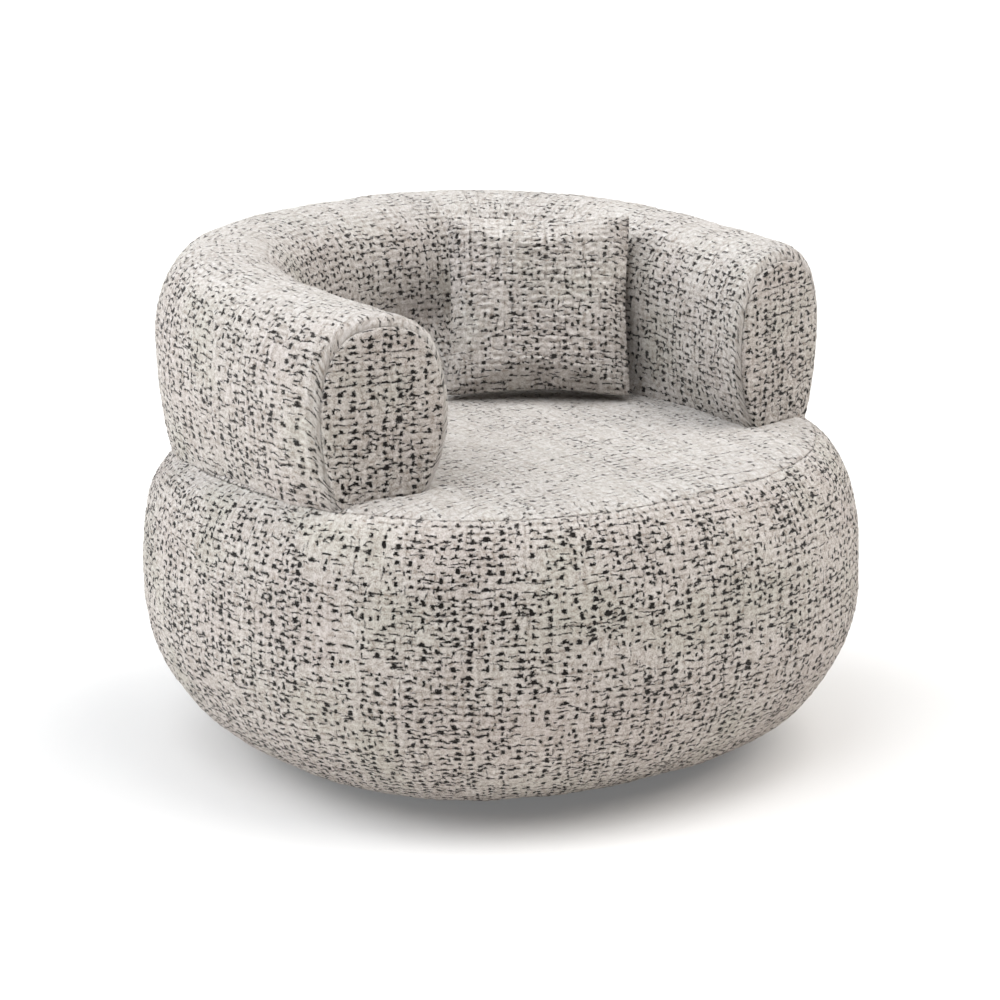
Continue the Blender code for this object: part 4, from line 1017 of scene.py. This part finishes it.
def add_pillow():
    """The loose square pillow: blown up as cloth, given its pile and drawn to its measures."""
    s, bm = sizes(), blown_pillow()
    layer = bm.loops.layers.uv.active
    bm.normal_update()
    places = np.array([vertex.co[:] for vertex in bm.verts])
    normals = np.array([vertex.normal[:] for vertex in bm.verts])
    cloth = np.array([vertex.link_loops[0][layer].uv[:] for vertex in bm.verts])
    seam = PILLOW_PANEL / 2 - np.abs(cloth).max(1)
    rear = np.where(places[:, 1] < 0, 0.0, 1.0)
    pile = nub_relief(cloth[:, 0], cloth[:, 1] + rear, 81) * ease(seam / 0.008)
    pile += seam_pull(seam, 0.0018, 0.006)
    places = places + normals * pile[:, None]

    low, high = places.min(0), places.max(0)
    target = np.array([s.pillow_width, s.pillow_thickness, s.pillow_height])
    places = (places - (low + high) / 2) * (target / (high - low))
    across, plump, up = (2 * places / target).T
    corner = 1 - s.pillow_corner * np.abs(across * up) ** 5
    places[:, 0] = (places[:, 0] - s.pillow_hollow * across ** 3 * (1 - up ** 2)) * corner
    places[:, 1] = power_of(plump, s.pillow_plumpness) * s.pillow_thickness / 2
    places[:, 2] = (places[:, 2] - s.pillow_hollow * up ** 3 * (1 - across ** 2)) * corner
    place_points(bm, places)
    for face in bm.faces:
        if face.calc_center_median().y > 0:
            for loop in face.loops:
                loop[layer].uv += REAR_PANEL_CUT

    low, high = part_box("pillow_cover_front")
    far_low, far_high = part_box("pillow_cover_rear")
    centre = (Vector(map(min, low, far_low)) + Vector(map(max, high, far_high))) / 2
    turn, lean = math.radians(s.pillow_turn), math.radians(s.pillow_lean)
    rotation = Matrix.Rotation(turn, 4, "Z") @ Matrix.Rotation(-lean, 4, "X")
    bmesh.ops.transform(bm, matrix=Matrix.Translation(centre) @ rotation, verts=bm.verts)
    piece = finish_cover("pillow_cushion", bm, 0.6, 0.20, body="pillow")
    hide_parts("pillow_cover_front", "pillow_cover_rear", "pillow_insert")


def add_panel_cloth(name, node, hole, material):
    """A thin flat cloth the shape of a CAD node, with a round hole in its middle."""
    low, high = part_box(node)
    half_x, half_y = (high.x - low.x) / 2, (high.y - low.y) / 2
    columns, rows = quick_step(192), 24
    bm, u, v = grid_of(columns, rows)
    x, y = superellipse(math.tau * u, half_x, half_y, sizes().seat_plan_power)
    inner = hole / np.hypot(x, y)
    share = inner + (1 - inner) * v
    x, y = x * share, y * share
    waves = 0.00025 * wave_noise(5, x, y, 0.05)
    points = np.stack([x, y, (low.z + high.z) / 2 + waves], -1)
    lay_cloth(bm, points, x, y)
    weld_border(bm)
    area = sum(face.calc_area() for face in bm.faces)
    bmesh.ops.recalc_face_normals(bm, faces=bm.faces)
    bmesh.ops.solidify(bm, geom=bm.faces[:], thickness=(high.z - low.z) * 0.8)
    piece = finish_piece(name, bm, material, "seat")
    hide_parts(node)


def frame_slot(node):
    """The record's material slot of a CAD node."""
    return next(s["material_slot"] for s in frame["record"]["subparts"] if s["node"] == node)


# Operators

class CHAIR_OT_seat_side(bpy.types.Operator):
    """Cover the side of the seat drum"""

    bl_idname = "chair.seat_side"
    bl_label = "Seat Side"

    def execute(self, context):
        add_seat_side()
        return {"FINISHED"}


class CHAIR_OT_seat_top(bpy.types.Operator):
    """Cover the top of the seat"""

    bl_idname = "chair.seat_top"
    bl_label = "Seat Top"

    def execute(self, context):
        add_seat_top()
        return {"FINISHED"}


class CHAIR_OT_back_roll(bpy.types.Operator):
    """Cover the back roll"""

    bl_idname = "chair.back_roll"
    bl_label = "Back Roll"

    def execute(self, context):
        add_back_roll()
        return {"FINISHED"}


class CHAIR_OT_arm_faces(bpy.types.Operator):
    """Pad both arm faces"""

    bl_idname = "chair.arm_faces"
    bl_label = "Arm Faces"

    def execute(self, context):
        add_arm_face("arm_face_right", True)
        add_arm_face("arm_face_left", False)
        return {"FINISHED"}


class CHAIR_OT_pillow(bpy.types.Operator):
    """Make the loose pillow"""

    bl_idname = "chair.pillow"
    bl_label = "Pillow"

    def execute(self, context):
        add_pillow()
        return {"FINISHED"}


class CHAIR_OT_linings(bpy.types.Operator):
    """Make the dust cover and the deck pad"""

    bl_idname = "chair.linings"
    bl_label = "Linings"

    def execute(self, context):
        lining = grained(
            "spunbond_lining", (0.020, 0.020, 0.021), (0.045, 0.045, 0.046), 900.0, 0.9,
            specular=0.2
        )
        felt = grained(
            "needled_felt", (0.17, 0.17, 0.175), (0.27, 0.265, 0.26), 500.0, 0.95, depth=0.0008
        )
        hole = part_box("bearing_lower_ring")[1].x + 0.010
        add_panel_cloth(
            "dust_cover_cloth", "dust_cover", hole, lining
        )
        add_panel_cloth("deck_pad_felt", "deck_pad", 0.004, felt)
        return {"FINISHED"}


class CHAIR_OT_frame_finishes(bpy.types.Operator):
    """Give the frame, the springs and the turntable their finishes"""

    bl_idname = "chair.frame_finishes"
    bl_label = "Frame Finishes"

    def execute(self, context):
        finishes = {
            "plywood": wood(
                "birch_plywood", (0.62, 0.45, 0.27), (0.40, 0.25, 0.13), (6.0, 6.0, 320.0)
            ),
            "pine": wood("planed_pine", (0.72, 0.52, 0.30), (0.50, 0.30, 0.14), (90.0, 90.0, 3.0)),
            "black_board": grained(
                "painted_board", (0.022, 0.022, 0.022), (0.035, 0.034, 0.033), 300.0, 0.55
            ),
            "zinc_steel": grained(
                "plated_steel", (0.60, 0.61, 0.62), (0.48, 0.49, 0.50), 260.0, 0.34, metallic=1.0
            ),
            "nylon": grained(
                "black_nylon", (0.025, 0.025, 0.026), (0.040, 0.040, 0.041), 500.0, 0.5
            ),
        }
        for name, node in frame["nodes"].items():
            finish = finishes.get(frame_slot(name))
            if finish and not node.hide_render:
                node.data.materials.clear()
                node.data.materials.append(finish)
        return {"FINISHED"}


# The studio. The camera has the photograph's view of the chair.

CAMERA_PLACE = (-3.0586, -4.3007, 1.8894)
CAMERA_TARGET = (0.0064, 0.0123, 0.3467)
SENSOR_WIDTH, FOCAL_LENGTH = 36.0, 138.87  # in millimetres
SUN_SPREAD = 50.0  # in degrees
SUNS = (
    ("rear_left", (-2.6, 2.6, 1.7), 2.30, (0.955, 0.98, 1.0)),
    ("left", (-2.3, -0.2, 3.3), 1.60, (0.985, 0.99, 1.0)),
    ("front_right", (1.6, -1.6, 3.3), 1.75, (1.0, 0.96, 0.915)),
    ("right", (2.5, -0.7, 3.1), 1.00, (1.0, 0.975, 0.95)),
    ("overhead", (0.0, 0.0, 4.0), 0.85, (0.95, 0.98, 1.0)),
)
FLOOR_SEEN, FLOOR_LIFT = (0.69, 0.69, 0.69), 0.16  # a white paper, with the chair's shadow
FLOOR_BOUNCE = (0.88, 0.85, 0.82)  # the colour that it throws back on the chair
AIR_COLOUR, AIR_STRENGTH = (1.0, 0.98, 0.96, 1.0), 0.04
WHITE = (1.0, 1.0, 1.0, 1.0)


def aim(obj, place, target):
    """Stands a lamp or a camera at a place and turns it to a target."""
    obj.location = place
    obj.rotation_euler = (Vector(target) - obj.location).to_track_quat("-Z", "Y").to_euler()


def add_sun(name, place, strength, tint):
    """A wide soft light that shines from a place towards the chair."""
    lamp = bpy.data.lights.new(name, "SUN")
    lamp.energy = strength
    lamp.angle = math.radians(SUN_SPREAD)
    lamp.color = tint
    aim(add_object(name, lamp), place, (0, 0, 0))


def add_floor():
    """A wide paper that looks white and keeps the chair's shadow."""
    bm = bmesh.new()
    bmesh.ops.create_grid(bm, x_segments=1, y_segments=1, size=30.0)
    floor = mesh_object("studio_floor", bm)
    shader = Shader("studio_paper", roughness=1.0, specular=0.0)
    shader.feed("Base Color", shader.mix(shader.rays("Camera"), FLOOR_BOUNCE, FLOOR_SEEN))
    strength = shader.rays("Camera", "Glossy") * FLOOR_LIFT
    lift = shader.node("Emission", None, {"Color": WHITE, "Strength": strength})
    shader.link(shader.node("AddShader", None, {0: lift, 1: shader.shade}), shader.surface)
    floor.data.materials.append(shader.material)


def add_world():
    """A faint warm light from all round, and white wherever the view goes past the floor."""
    world = bpy.data.worlds.new("studio_air")
    air = Nodes(world, "Background")
    air.feed("Color", AIR_COLOUR)
    air.feed("Strength", AIR_STRENGTH)
    white = air.node("Background", None, {"Color": WHITE, "Strength": 1.0})
    seen = air.rays("Camera", "Glossy", "Transmission")
    air.link(air.node("MixShader", None, {0: seen, 1: air.shade, 2: white}), air.surface)
    bpy.context.scene.world = world


class CHAIR_OT_stage(bpy.types.Operator):
    """Set up the floor, the lights and the camera"""

    bl_idname = "chair.stage"
    bl_label = "Studio"

    def execute(self, context):
        add_floor()
        add_world()
        for sun in SUNS:
            add_sun(*sun)
        lens = bpy.data.cameras.new("camera")
        lens.sensor_width = SENSOR_WIDTH
        lens.lens = FOCAL_LENGTH
        lens.clip_end = 100.0
        context.scene.camera = add_object("camera", lens)
        aim(context.scene.camera, CAMERA_PLACE, CAMERA_TARGET)
        context.scene.view_settings.view_transform = "Standard"
        return {"FINISHED"}


class CHAIR_PT_panel(bpy.types.Panel):
    """Sidebar panel that lists the steps"""

    bl_label = "Barrel Chair"
    bl_idname = "CHAIR_PT_panel"
    bl_space_type = "VIEW_3D"
    bl_region_type = "UI"
    bl_category = "Chair"

    def draw(self, context):
        for operator in OPERATORS:
            self.layout.operator(operator.bl_idname)


OPERATORS = (
    CHAIR_OT_seat_side, CHAIR_OT_seat_top, CHAIR_OT_back_roll, CHAIR_OT_arm_faces,
    CHAIR_OT_pillow, CHAIR_OT_linings, CHAIR_OT_frame_finishes, CHAIR_OT_stage,
)
CLASSES = (ChairSizes, ClothLooks, *OPERATORS, CHAIR_PT_panel)


def register():
    for each in CLASSES:
        bpy.utils.register_class(each)
    bpy.types.Scene.chair_sizes = PointerProperty(type=ChairSizes)
    bpy.types.Scene.chair_cloth = PointerProperty(type=ClothLooks)


def unregister():
    del bpy.types.Scene.chair_cloth
    del bpy.types.Scene.chair_sizes
    for each in reversed(CLASSES):
        bpy.utils.unregister_class(each)


def main():
    register()
    for operator in OPERATORS:
        group, name = operator.bl_idname.split(".")
        getattr(getattr(bpy.ops, group), name)()
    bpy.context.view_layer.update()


if __name__ == "__main__":
    main()
